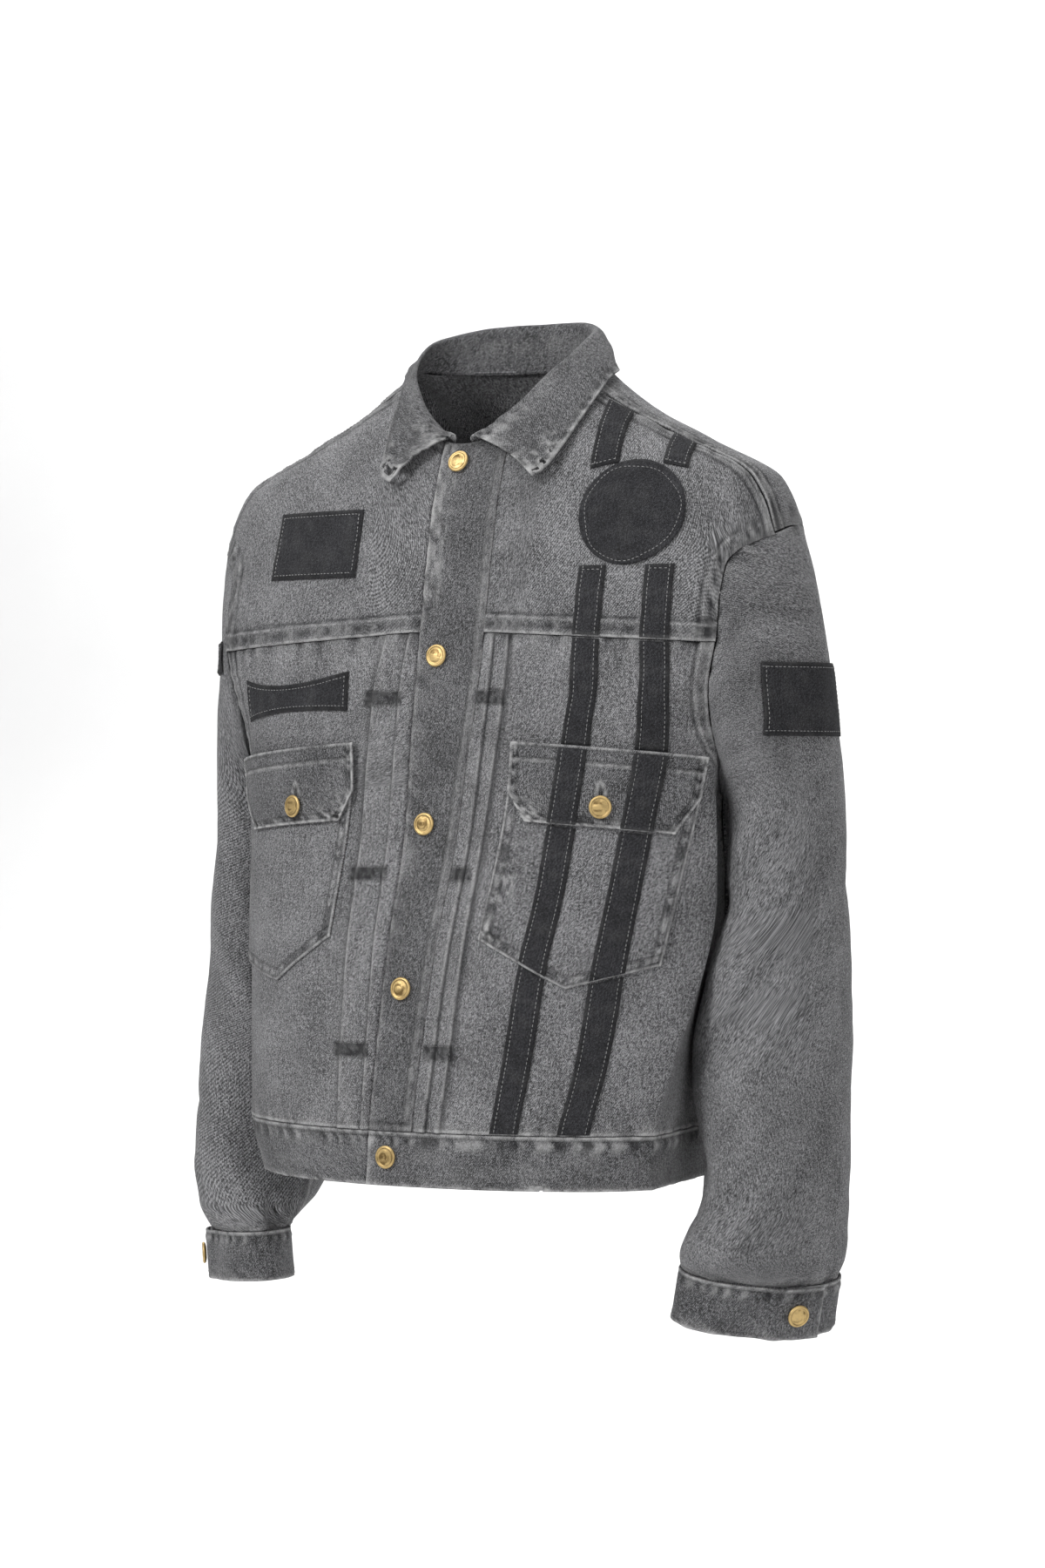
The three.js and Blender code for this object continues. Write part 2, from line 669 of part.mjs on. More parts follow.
function clearOfBody(side, [x, y, z]) {
  return [Math.max(x, torsoSideX(side, y, z) + SLEEVE_CLEARANCE), y, z];
}

const armholeShares = (() => {
  const points = ARMHOLE.map(([y, z]) => [y, z]);
  const gaps = points.map((p, k) => length(minus(points[(k + 1) % points.length], p)));
  const whole = gaps.reduce((sum, gap) => sum + gap, 0);
  let run = 0;
  return gaps.map((gap) => {
    const share = run / whole;
    run += gap;
    return share;
  });
})();

const CAP_END_Z = -352;
const CAP_MIDDLE = [3, -232];
const CAP_GAP = 3 * SEAM_GAP;

const cuffSet = (side) => CUFF_SET[side > 0 ? 'left' : 'right'];

// The height of a cuff's top at a place in plan
function cuffTopZ(side, x, y) {
  const { top, outward, backward } = cuffSet(side);
  return top + outward * (x - CUFF.x) + backward * (y - CUFF.y);
}

// Below the forearm the sleeve's rows tilt by degrees, to end along the cuff's top
function towardsCuff(side, [x, y, z]) {
  const share = THREE.MathUtils.clamp((FOREARM_Z - z) / (FOREARM_Z - WRIST_Z), 0, 1);
  return [x, y, z + share * (cuffTopZ(side, x, y) + CAP_GAP - WRIST_Z)];
}

function sleeveGrid(side) {
  const grid = steps(CAP_ROWS).map((t) =>
    ARMHOLE.map(([y, z], k) => {
      const start = add(armholePoint([y, z]), [CAP_GAP, 0, 0]);
      const end = clearOfBody(side, sleevePlain(armholeShares[k], CAP_END_Z));
      const away = unit(minus([y, z], CAP_MIDDLE));
      const reach = length(minus(end, start)) / 3;
      const leave = unit([0.22, 0.1 + away[0] * 0.12, -0.92]);
      const first = add(start, leave, reach);
      const second = add(end, [0, 0, 1], reach);
      const near = mix(mix(start, first, t), mix(first, second, t), t);
      const far = mix(mix(first, second, t), mix(second, end, t), t);
      return mix(near, far, t);
    }),
  );
  const heights = [-380, -411, -440, -470, -500, -530, -560, -592, -624, -650, -668, -681, WRIST_Z];
  for (const z of heights)
    grid.push(armholeShares.map((share) => towardsCuff(side, clearOfBody(side, sleevePlain(share, z)))));
  return grid.map((row) => [...row].reverse());
}

// A cuff's point: its share of a turn, how far it stands out, and how far below the cuff's top
function cuffPoint(side, share, over, down) {
  const { outward, backward } = cuffSet(side);
  const grow = over + (down > 0 ? 0.6 : 0);
  const [x, y] = oval(CUFF.x, CUFF.y, CUFF.long + grow, CUFF.short + grow, CUFF.turn, share);
  return [x + outward * down, y + backward * down, cuffTopZ(side, x, y) - down];
}

// A cuff from its lapped end round the front to its under end
function cuffGrid(side) {
  const grid = steps(2, 0, CUFF.height).map((down) =>
    steps(30, 1.1, 0).map((t) => {
      const over = CUFF_OVER * THREE.MathUtils.clamp((0.21 - t) / 0.08, 0, 1);
      return cuffPoint(side, CUFF_OVER_END + t, over, down);
    }),
  );
  return withMirror(grid, side);
}

// Collar

function collarProfile(seam, fold, edge) {
  const across = unit([edge[0] - seam[0], edge[1] - seam[1], 0]);
  const up = [0, 0, 1];
  const rise = Math.max(length(minus(fold, seam)), 1);
  const roll = Math.min(COLLAR_ROLL, rise * 0.45);
  const top = add(fold, across, roll * 0.2);
  const over = add(add(fold, across, roll * 1.9), up, -roll * 0.75);
  const middle = add(mix(over, edge, 0.5), add(up, across, 0.6), COLLAR_BULGE * 0.7);
  return [
    seam,
    add(mix(seam, fold, 0.5), across, -0.6),
    add(add(fold, across, -roll * 0.9), up, -roll * 0.9),
    top,
    over,
    mix(mix(over, middle, 0.5), middle, 0.1),
    middle,
    add(mix(middle, edge, 0.5), up, COLLAR_BULGE * 0.22),
    edge,
  ];
}

function collarGrid() {
  const half = COLLAR.rows.map((row) => {
    const inward = 1 - COLLAR_INSET / Math.hypot(row[0], row[1]);
    const seam = [row[0] * inward, row[1] * inward, shoulderZ(row[0], row[1]) + (row[1] < -45 ? 1.4 : 0.6)];
    return { seam, fold: row.slice(2, 5), edge: row.slice(5, 8) };
  });
  const flip = ([x, y, z]) => [-x, y, z];
  const right = half.slice(0, -1).map(({ seam, fold, edge: [x, y, z] }, k) => {
    const edgeX = RIGHT_PULL[k] - x;
    const edge = [edgeX, y, Math.max(z, shoulderZ(edgeX, y) + COLLAR_CLEARANCE)];
    return { seam: flip(seam), fold: flip(fold), edge };
  });
  const stations = [...half, ...right.reverse()];
  const columns = stations.map(({ seam, fold, edge }) => collarProfile(seam, fold, edge));
  return columns[0].map((_, i) => columns.map((column) => column[i]));
}

// Pieces that lie on the front

// Rows of places (x, z) on the front, made into a sheet that stands off it
function onFront(rows, out, wall) {
  const grid = rows.map((row) => row.map(([x, z]) => frontPoint(x, z)));
  return shell(grid, wall, { lift: out });
}

// Places between an inner and an outer x, closer together where the front turns to the side
function across(inX, outX, inZ, outZ, count) {
  const a = angleAtX(inX, inZ);
  const b = angleAtX(outX, outZ);
  return steps(count).map((t) => {
    const z = lerp(inZ, outZ, t);
    const c = Math.cos(lerp(a, b, t));
    return [Math.sign(c) * Math.abs(c) ** (2 / power(z)) * halfWidth(z), z];
  });
}

const turnedOver = (rows) => rows.map((row) => row.map(([x, z]) => [-x, z]).reverse());

function pocketLowZ(x, { inLow, outLow, tip, outZ }) {
  if (x < tip) return lerp(POCKET.inZ, POCKET.tipZ, (x - inLow) / (tip - inLow));
  return lerp(POCKET.tipZ, outZ, (x - tip) / (outLow - tip));
}

function pocketRows(shape) {
  const columns = 8;
  return steps(6).map((t) =>
    steps(columns).map((_, j) => {
      const level = lerp(POCKET.top, POCKET.sideZ, t);
      const inX = lerp(shape.inTop, shape.inLow, t);
      const outX = lerp(shape.outTop, shape.outLow, t);
      const lowX = across(shape.inLow, shape.outLow, POCKET.sideZ, POCKET.sideZ, columns)[j][0];
      const z = lerp(POCKET.top, pocketLowZ(lowX, shape), t);
      return [across(inX, outX, level, level, columns)[j][0], z];
    }),
  );
}

function flapRows(side) {
  const rows = side > 0 ? FLAP.rows : [...FLAP.rows.slice(0, -1), RIGHT_FLAP_LOW];
  return rows.map(([, inX, outX, inZ, outZ]) => across(inX, outX, inZ, outZ, 8));
}

const stripMiddle = { a: curve(STRIPS, 'a'), b: curve(STRIPS, 'b') };

// Rows between two lines across the front, each given as a height at any x
function stripRows(name, topAt, bottomAt, count) {
  return steps(count).map((t) =>
    [-1, -0.33, 0.33, 1].map((edge) => {
      const offset = (edge * STRIP_WIDTH) / 2;
      const guess = lerp(topAt(120), bottomAt(120), t);
      const x = stripMiddle[name](guess) + offset;
      const z = lerp(topAt(x), bottomAt(x), t);
      return [stripMiddle[name](z) + offset, z];
    }),
  );
}

const flapZ = ([, inX, outX, inZ, outZ]) => (x) => lerp(inZ, outZ, (x - inX) / (outX - inX));
const flapTopZ = flapZ(FLAP.rows[0]);
const flapLowZ = flapZ(FLAP.rows[3]);
const pocketEdgeZ = (x) => pocketLowZ(x, POCKET.left);

// Each strip in pieces: yoke, front, flap, pocket, and below the pocket
function stripPieces() {
  const gap = 4 * SEAM_GAP;
  const above = (line, by) => (x) => line(x) + by;
  return [
    ['yoke', () => STRIPS.rows[0][0], above(yokeSeamZ, gap), 3, SKIN],
    ['front', above(yokeSeamZ, -gap), above(flapTopZ, gap), 4, SKIN],
    ['flap', above(flapTopZ, -gap), above(flapLowZ, gap), 3, FLAP_OUT + OVER + PATCH_CLOTH],
    ['pocket', above(flapLowZ, -gap), above(pocketEdgeZ, gap), 5, POCKET_OUT + OVER + PATCH_CLOTH],
    ['low', above(pocketEdgeZ, -gap), () => BAND_TOP_Z + gap, 5, SKIN],
  ];
}

// A round patch as rows of chords
function discRows({ x, z, radius }) {
  return steps(10).map((t) => {
    const height = radius * Math.cos(Math.PI * t);
    const half = Math.max(radius * Math.sin(Math.PI * t), 4);
    return steps(6, -1, 1).map((s) => [x + s * half, z + height]);
  });
}

// A place on the sleeve's own facets: its share of a turn, and its height
function onSleeve(grid, share, z) {
  const turned = (share + 1) % 1;
  const columns = armholeShares.length;
  let k = columns - 1;
  while (armholeShares[k] > turned) k -= 1;
  const next = k + 1 < columns ? armholeShares[k + 1] : 1;
  const t = (turned - armholeShares[k]) / (next - armholeShares[k]);
  const column = grid.map((row) => mix(row[columns - 1 - k], row[(2 * columns - 2 - k) % columns], t));
  let i = 0;
  while (i < column.length - 2 && column[i + 1][2] > z) i += 1;
  return mix(column[i], column[i + 1], (z - column[i][2]) / (column[i + 1][2] - column[i][2]));
}

function sleevePatch(side) {
  const shape = SLEEVE_PATCH[side > 0 ? 'left' : 'right'];
  const grid = sleeveGrid(side);
  const rows = steps(4, shape.top, shape.bottom).map((z, i) =>
    steps(10, shape.frontShares[i], shape.rearShare).map((share) => onSleeve(grid, share, z)),
  );
  return withMirror(rows, side);
}

// Buttons

function button() {
  const { radius, height, sides } = BUTTON;
  const profile = [
    [0, 0],
    [radius * 0.62, 0],
    [radius * 0.92, height * 0.3],
    [radius, height * 0.62],
    [radius * 0.9, height * 0.9],
    [radius * 0.55, height],
    [0, height],
  ].map(([r, h]) => new THREE.Vector2(r, h));
  return new THREE.LatheGeometry(profile, sides);
}

function seatButton(mesh, point, normal, out) {
  mesh.quaternion.setFromUnitVectors(new THREE.Vector3(0, 1, 0), new THREE.Vector3(...normal));
  mesh.position.set(...add(point, normal, out));
}

function frontNormal(x, z) {
  const h = 1;
  const alongX = minus(frontPoint(x + h, z), frontPoint(x - h, z));
  const down = minus(frontPoint(x, z - h), frontPoint(x, z + h));
  return unit(cross(down, alongX));
}

// The jacket

const jacket = new THREE.Group();

function piece(name, geometry, colour, { roughness = 0.92, metalness = 0 } = {}) {
  const material = new THREE.MeshStandardMaterial({ color: colour, roughness, metalness });
  const mesh = new THREE.Mesh(geometry, material);
  mesh.name = name;
  jacket.add(mesh);
  return mesh;
}

const patch = (name, rows, out = SKIN) =>
  piece('patch_' + name, onFront(rows, out, PATCH_CLOTH), COLOURS.patch);

for (const [name, side] of [['left', 1], ['right', -1]]) {
  piece('front_yoke_' + name, shell(frontYoke(side), CLOTH), COLOURS.yoke);
  piece('front_' + name, shell(front(side), CLOTH), COLOURS.denim);
  const sleeve = withMirror(sleeveGrid(side), side);
  piece('sleeve_' + name, shell(sleeve, CLOTH, { closed: true }), COLOURS.denim);
  piece('cuff_' + name, shell(cuffGrid(side), BAND_CLOTH), COLOURS.trim);
  const turned = side > 0 ? (rows) => rows : turnedOver;
  const pocket = onFront(turned(pocketRows(POCKET[name])), POCKET_OUT, POCKET_CLOTH);
  piece('pocket_' + name, pocket, COLOURS.denim);
  piece('flap_' + name, onFront(turned(flapRows(side)), FLAP_OUT, FLAP_CLOTH), COLOURS.trim);
}
piece('back_yoke', shell(backYoke(), CLOTH), COLOURS.yoke);
piece('back', shell(back(), CLOTH), COLOURS.denim);
piece('placket', shell(placket(), CLOTH, { lift: PLACKET_LIFT }), COLOURS.denim);
piece('waistband', shell(waistband(), BAND_CLOTH, { lift: BAND_LIFT }), COLOURS.trim);
piece('collar', shell(collarGrid(), BAND_CLOTH), COLOURS.trim);

for (const [name, side] of [['left', 1], ['right', -1]]) {
  const geometry = shell(sleevePatch(side), PATCH_CLOTH, { lift: SLEEVE_PATCH_OUT });
  piece('patch_sleeve_' + name, geometry, COLOURS.patch);
}
for (const [name, { x, lean, width, inLow, outLow }] of Object.entries(SHORT_STRIPS)) {
  const rows = steps(4).map((t) =>
    steps(3).map((s) => {
      const at = x + lean * t + width * s;
      return [at, lerp(shoulderZ(at, SHOULDER_SEAM_Y - LAP), lerp(inLow, outLow, s), t)];
    }),
  );
  patch('short_' + name, rows);
}
const square = SQUARE_PATCH;
const squareColumns = steps(4, square.outX, square.inX);
patch('square', steps(3, square.top, square.low).map((z) => squareColumns.map((x) => [x, z])));
const waisted = WAISTED_PATCH;
const waistedRows = waisted.rows.map(([outZ, inZ, rise]) =>
  across(waisted.outX, waisted.inX, outZ, inZ, 6).map(([x, z], j) => [x, z + rise * (1 - (j / 3 - 1) ** 2)]),
);
patch('waisted', waistedRows);
patch('disc', discRows(DISC_PATCH));
for (const name of ['a', 'b'])
  for (const [where, top, bottom, count, out] of stripPieces())
    patch(`strip_${name}_${where}`, stripRows(name, top, bottom, count), out);

for (const [k, z] of FRONT_BUTTON_Z.entries()) {
  const x = closureLine(z);
  const mesh = piece('button_front_' + (k + 1), button(), COLOURS.brass, BRASS_FINISH);
  const out = z < BAND_TOP_Z ? BUTTON_OUT.band : BUTTON_OUT.front;
  seatButton(mesh, frontPoint(x, z), frontNormal(x, z), out);
}
for (const [name, side] of [['left', 1], ['right', -1]]) {
  const mesh = piece('button_flap_' + name, button(), COLOURS.brass, BRASS_FINISH);
  const cuffMesh = piece('button_cuff_' + name, button(), COLOURS.brass, BRASS_FINISH);
  const onCuff = (more, down) => cuffPoint(side, CUFF_BUTTON_AT + more, CUFF_OVER, down);
  const seat = onCuff(0, CUFF.height / 2);
  const ahead = minus(onCuff(0.01, CUFF.height / 2), seat);
  const below = minus(onCuff(0, CUFF.height), seat);
  const [faceX, faceY, faceZ] = unit(cross(ahead, below));
  seatButton(cuffMesh, [side * seat[0], seat[1], seat[2]], [side * faceX, faceY, faceZ], BUTTON_OUT.cuff);
  const x = side * FLAP_BUTTON[name];
  seatButton(mesh, frontPoint(x, FLAP_BUTTON.z), frontNormal(x, FLAP_BUTTON.z), BUTTON_OUT.flap);
}

export default jacket;
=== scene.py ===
import math

import bpy
import numpy as np
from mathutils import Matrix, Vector
from mathutils.bvhtree import BVHTree


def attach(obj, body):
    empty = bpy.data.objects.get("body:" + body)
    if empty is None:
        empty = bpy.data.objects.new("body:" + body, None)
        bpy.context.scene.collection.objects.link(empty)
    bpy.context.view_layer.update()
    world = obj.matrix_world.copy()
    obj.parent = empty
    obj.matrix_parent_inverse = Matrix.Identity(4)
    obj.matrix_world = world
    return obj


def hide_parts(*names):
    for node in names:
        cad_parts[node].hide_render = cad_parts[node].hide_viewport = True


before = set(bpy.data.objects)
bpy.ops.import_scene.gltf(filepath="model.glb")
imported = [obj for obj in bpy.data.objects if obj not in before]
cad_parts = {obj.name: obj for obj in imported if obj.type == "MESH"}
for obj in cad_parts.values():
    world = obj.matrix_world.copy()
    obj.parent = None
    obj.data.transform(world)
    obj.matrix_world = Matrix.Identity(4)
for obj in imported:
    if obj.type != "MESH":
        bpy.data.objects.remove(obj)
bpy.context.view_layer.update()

MM = 0.001

# The garment's sizes, as in the part's source
HEM_Z, BAND_TOP_Z, BACK_SEAM_Z = -618.0, -578.0, -175.0
YOKE_SEAM_MIDDLE, YOKE_SEAM_END = -209.0, -220.0
NECK_HALF, NECK_FRONT, NECK_BACK = 80.0, 62.0, 52.0
SHOULDER_SEAM_Y = -22.0
SEAM_GAP, LAP = 0.3, 2.4
SIDES = (("left", 1), ("right", -1))
PLACKET_LAP, UNDERLAP = 17.0, 15.0
CLOTH = 1.5

TORSO = {
    "columns": ["z", "half", "front", "back", "power"],
    "rows": [
        [-2, 78, 16, 50, 2], [-20, 98, 38, 64, 2], [-45, 134, 52, 79, 2.05],
        [-65, 172, 61, 88, 2.1], [-97, 231, 73, 98, 2.1], [-133, 246, 83, 106, 2.05],
        [-155, 248, 87, 111, 2.3], [-190, 245, 93, 116, 2.7], [-218, 240, 98, 119, 2.9],
        [-300, 214, 108, 121, 2.45], [-353, 213, 112, 121, 2.3], [-452, 210, 132, 120, 2.25],
        [-524, 207, 141, 119, 2.25], [-582, 203, 147, 118, 2.25], [-618, 190, 148, 114, 2.25],
    ],
}
TUCK = {
    "columns": ["z", "depth", "middle", "left", "right", "rear"],
    "rows": [
        [-240, 0, 5, 66, 66, 60], [-300, 18, 5, 50, 50, 60], [-345, 32, 12, 54, 54, 66],
        [-411, 29, 16, 58, 58, 68], [-466, 38, 18, 72, 62, 72], [-528, 46, 18, 92, 68, 74],
        [-582, 42, 16, 102, 66, 74], [-618, 34, 14, 92, 60, 70],
    ],
}
CLOSURE = {
    "columns": ["z", "line", "inner"],
    "rows": [[-60, 0, 38], [-218, 0, 38], [-353, -3, 28], [-474, -9, 23], [-578, -14, 20],
             [-618, -16, 20]],
}
PLEATS = {
    "columns": ["z", "left1", "left2", "right1", "right2"],
    "rows": [[-215, 47, 60, 25, 44], [-259, 46, 59, 30, 53], [-390, 38, 49, 31, 56],
             [-520, 33, 46, 26, 50], [-578, 31, 43, 24, 46]],
}
PLEAT_RISE, PLEAT_STEP, PLEAT_LANE = 2.6, 1.2, 42

# Soft troughs (minus is a ridge): from, to, half width, depth. The first ones are the source's
# own, and the finer ones after them are only here.
FRONT_FOLDS = [
    (196, -232, 84, -268, 15, 3.2), (188, -392, 150, -560, 15, 4.5),
    (152, -470, 118, -566, 12, 3), (-188, -238, -96, -262, 14, 2.6),
    (-186, -420, -160, -566, 15, 4), (-150, -470, -104, -560, 13, 3),
    (206, -262, 150, -286, 7, 1.3), (112, -470, 96, -560, 9, 1.3),
    (176, -486, 168, -572, 7, 1.4), (-130, -440, -90, -500, 9, -1.2),
    (-118, -476, -70, -520, 7, 1.1), (-176, -470, -150, -536, 8, -1.3),
    (70, -520, 62, -574, 6, 0.9), (40, -96, 74, -128, 8, 0.9),
    (-36, -100, -92, -146, 9, 1.1), (-128, -80, -196, -150, 12, 1.2),
    (96, -174, 160, -196, 9, -0.9), (196, -130, 226, -186, 10, 1.6),
    (-200, -128, -228, -190, 10, 1.6), (-60, -160, -130, -196, 9, -0.8),
]
BACK_FOLDS = [
    (176, -238, 92, -330, 17, 5), (-172, -230, -84, -318, 16, 4.4),
    (150, -350, 118, -560, 20, 6), (-140, -372, -128, -562, 18, 5.4),
    (58, -420, 44, -570, 18, 4.6), (-46, -396, -60, -566, 20, 5),
    (100, -250, 30, -290, 13, 1.8), (-110, -246, -24, -300, 12, 1.6),
    (96, -400, 84, -520, 10, -1.6), (-92, -420, -84, -540, 11, -1.7),
    (4, -440, -6, -560, 9, 1.4), (186, -440, 168, -560, 9, 1.8),
    (-180, -450, -166, -566, 9, 1.7), (70, -60, 150, -130, 14, 1.4),
    (-76, -64, -158, -134, 13, 1.3), (-30, -120, 34, -132, 10, 1.0),
]
SLEEVE_FOLDS = [
    (0.12, -210, 0.32, -330, 15, 4), (0.3, -400, 0.52, -452, 14, 5),
    (0.62, -440, 0.86, -500, 16, 5), (0.14, -486, 0.42, -540, 14, 4.5),
    (0.5, -560, 0.3, -628, 14, 4), (0.66, -580, 0.9, -640, 15, 4.5),
    (0.04, -300, 0.2, -388, 9, 1.6), (0.2, -430, 0.34, -470, 8, -1.7),
    (0.08, -560, 0.24, -600, 8, 1.8), (0.16, -640, 0.34, -676, 6, 1.8),
    (0.42, -640, 0.3, -680, 6, 1.5), (0.78, -360, 0.92, -420, 10, 2.2),
    (0.7, -520, 0.84, -556, 9, -1.8), (0.9, -250, 0.8, -330, 12, 2.2),
    (0.0, -610, 0.1, -660, 6, 1.3), (0.56, -480, 0.66, -560, 10, 2.0),
    (0.24, -590, 0.12, -650, 7, -1.4), (0.36, -350, 0.46, -420, 9, 1.8),
]
ARMHOLE = np.array([
    (0, -133), (-22, -140), (-37, -147), (-46, -154), (-53, -165), (-60, -190), (-64, -220),
    (-62, -250), (-52, -280), (-38, -303), (-18, -321), (5, -330), (27, -324), (46, -308),
    (60, -282), (70, -250), (75, -215), (74, -175), (66, -157), (50, -143), (26, -135.5)], float)
SHOULDER_SEAM_AT, YOKE_SEAM_AT, UNDERARM_AT, BACK_SEAM_AT = 1, 6, 11, 17
SLEEVE = {
    "columns": ["z", "x", "y", "long", "short", "turn"],
    "rows": [
        [-352, 228, 25, 60, 38, 90], [-411, 228, 23, 64, 40.5, 90], [-466, 222, 20, 68, 49, 85],
        [-528, 218, 16, 70, 58, 88], [-566, 223, 12, 68, 53.5, 88], [-633, 227, 8, 67, 49, 85],
        [-665, 225, -3, 69, 45, 68], [-680, 225, -11, 66, 37, 54], [-689.6, 225, -14, 61, 29, 47],
    ],
}
SIDE_SEAM_TOP_Z, CAP_END_Z = -330.0, -352.0
FOREARM_Z, WRIST_Z = -566.0, -689.6
CUFF_X, CUFF_Y, CUFF_HEIGHT = 225.0, -14.5, 38.0
CUFF_SET = {1: (-680.0, -0.25, 0.168), -1: (-673.0, -0.07, 0.0)}
CUFF_LONG, CUFF_SHORT, CUFF_TURN = 62.0, 30.0, 46.0
CUFF_OVER, CUFF_OVER_END, CUFF_BUTTON_AT = 3.4, -0.035, 0.035
COLLAR = [
    (10, -61.5, 9, -64, -60, 70, -82, -95), (21, -59.8, 20, -61, -55, 79, -77, -89),
    (34, -56.1, 33, -56, -45, 87, -66, -73), (48, -49.6, 46, -48, -32, 93, -51, -54),
    (62, -39.2, 59, -36, -14, 98, -34, -35), (72, -27, 67, -22, -2, 101, -16, -18),
    (78.5, -12, 71, -6, 10, 98, 2, -12), (79, 8, 71, 12, 20, 86, 21, -9),
    (70, 25.2, 61, 30, 27, 74, 40, -7), (50, 40.6, 44, 44, 32, 59, 60, -7),
    (26, 49.2, 23, 52, 34, 30, 71, -8), (0, 52, 0, 54, 34, 0, 75, -8)]
RIGHT_PULL, COLLAR_CLEARANCE = [16, 14, 18, 20, 24, 20, 10, 6, 4, 3, 2, 0], 3.5
COLLAR_ROLL, COLLAR_BULGE, COLLAR_INSET = 3.6, 4.5, 4.4
UNDER_COLLAR = 4.6  # how far the back yoke's neck edge runs on under the collar's foot
POCKET = {
    "left": dict(inTop=67, outTop=199, inLow=51, outLow=176, tip=118, outZ=-455),
    "right": dict(inTop=69, outTop=201, inLow=80, outLow=201, tip=136, outZ=-459),
}
POCKET_TOP, POCKET_LOW, POCKET_IN_Z, POCKET_TIP_Z = -312.0, -455.0, -437.0, -472.0
FLAP = [(68, 199, -292, -303), (67, 197, -311, -319), (66, 195, -328, -334), (80, 181, -351, -360)]
RIGHT_FLAP_LOW = (80, 177, -351, -358.5)
POCKET_OUT, FLAP_OUT = 2.4, 5.3
BUTTON_RADIUS, BUTTON_HEIGHT = 8.5, 3.4
FRONT_BUTTON_Z = [-82, -228, -353, -474, -597]
FLAP_BUTTON = {"left": 135, "right": 125}
FLAP_BUTTON_Z = -340
STRIP_WIDTH, STRIP_TOP_Z = 21.0, -163
STRIPS = {
    "columns": ["z", "a", "b"],
    "rows": [[-163, 121.5, 171.5], [-219, 122, 173], [-296, 115.5, 168], [-355, 107, 158.5],
             [-411, 101.5, 151.5], [-462, 93.5, 145], [-523, 86.5, 137], [-578, 79, 127]],
}
SHORT_STRIPS = [("a", 104, 5.5, 21, -91, -86.5), ("b", 158.5, 4, 19, -87.5, -92)]
DISC_X, DISC_Z, DISC_RADIUS = 145.0, -124.0, 39.0
WAISTED = [(-243, -238, -7), (-253, -249, -4), (-265, -257, 0), (-275, -268, 3)]
SLEEVE_PATCH = {
    "left": (-234, -288, -0.06, [0.12, 0.14, 0.155, 0.17, 0.19]),
    "right": (-212, -237, 0.03, [0.19, 0.2, 0.21, 0.22, 0.23]),
}


# Reading a table

def curve(table, name):
    column = table["columns"].index(name)
    rows = sorted(table["rows"])
    at = np.array([row[0] for row in rows], float)
    value = np.array([row[column] for row in rows], float)
    rise = np.diff(value) / np.diff(at)
    slope = np.zeros(len(value))
    slope[0], slope[-1] = rise[0], rise[-1]
    both = rise[:-1] * rise[1:]
    total = rise[:-1] + rise[1:]
    slope[1:-1] = np.where(both > 0, 2 * both / np.where(total == 0, 1, total), 0)

    def read(where):
        x = np.clip(where, at[0], at[-1])
        i = np.clip(np.searchsorted(at, x, side="right") - 1, 0, len(at) - 2)
        span = at[i + 1] - at[i]
        t = (x - at[i]) / span
        h = t * t * (3 - 2 * t)
        return (value[i] * (1 - h) + value[i + 1] * h
                + span * (t * (1 - t) ** 2 * slope[i] + t * t * (t - 1) * slope[i + 1]))
    return read


def lerp(a, b, t):
    return a + (b - a) * t


def unit(v):
    return v / np.maximum(np.linalg.norm(v, axis=-1, keepdims=True), 1e-9)


def smooth(t):
    t = np.clip(t, 0, 1)
    return t * t * (3 - 2 * t)


def bell(distance, width):
    return np.exp(-(distance / width) ** 2)


def between_middle_two(p, t):
    """A smooth run through four points in turn, read between the second and the third."""
    return 0.5 * (2 * p[1] + (p[2] - p[0]) * t + (2 * p[0] - 5 * p[1] + 4 * p[2] - p[3]) * t ** 2
                  + (3 * p[1] - p[0] - 3 * p[2] + p[3]) * t ** 3)


def close_ends(count, share=0.5):
    """Places from 0 to 1 that lie closer together near both ends."""
    even = np.linspace(0, 1, count)
    return lerp(even, 0.5 - 0.5 * np.cos(math.pi * even), share)


# Even, seeded unevenness, from -1 to 1

LATTICE = np.random.default_rng(7).random((16, 256, 256)) * 2 - 1


def noise(u, v, seed):
    table = LATTICE[seed % 16]
    a, b = np.floor(u).astype(int), np.floor(v).astype(int)
    s, t = smooth(u - a), smooth(v - b)
    a, b = a + seed * 31, b + seed * 17
    c = lambda i, j: table[(a + i) % 256, (b + j) % 256]
    return lerp(lerp(c(0, 0), c(1, 0), s), lerp(c(0, 1), c(1, 1), s), t)


def uneven(u, v, seed):
    return (0.5 * noise(u / 41, v / 41, seed) + 0.24 * noise(u / 15, v / 15, seed + 1)
            + 0.1 * noise(u / 5.5, v / 5.5, seed + 2))


# The body's surface

half_width, front_depth = curve(TORSO, "half"), curve(TORSO, "front")
back_depth, power = curve(TORSO, "back"), curve(TORSO, "power")
tuck_depth, tuck_middle = curve(TUCK, "depth"), curve(TUCK, "middle")
tuck_left, tuck_right, tuck_rear = curve(TUCK, "left"), curve(TUCK, "right"), curve(TUCK, "rear")
closure_line, placket_inner = curve(CLOSURE, "line"), curve(CLOSURE, "inner")


def tuck(side, y, z):
    away = y - tuck_middle(z)
    ahead = np.where(side > 0, tuck_left(z), tuck_right(z))
    t = away / np.where(away < 0, ahead, tuck_rear(z))
    return np.where(np.abs(t) < 1, tuck_depth(z) * (1 - t * t), 0.0)


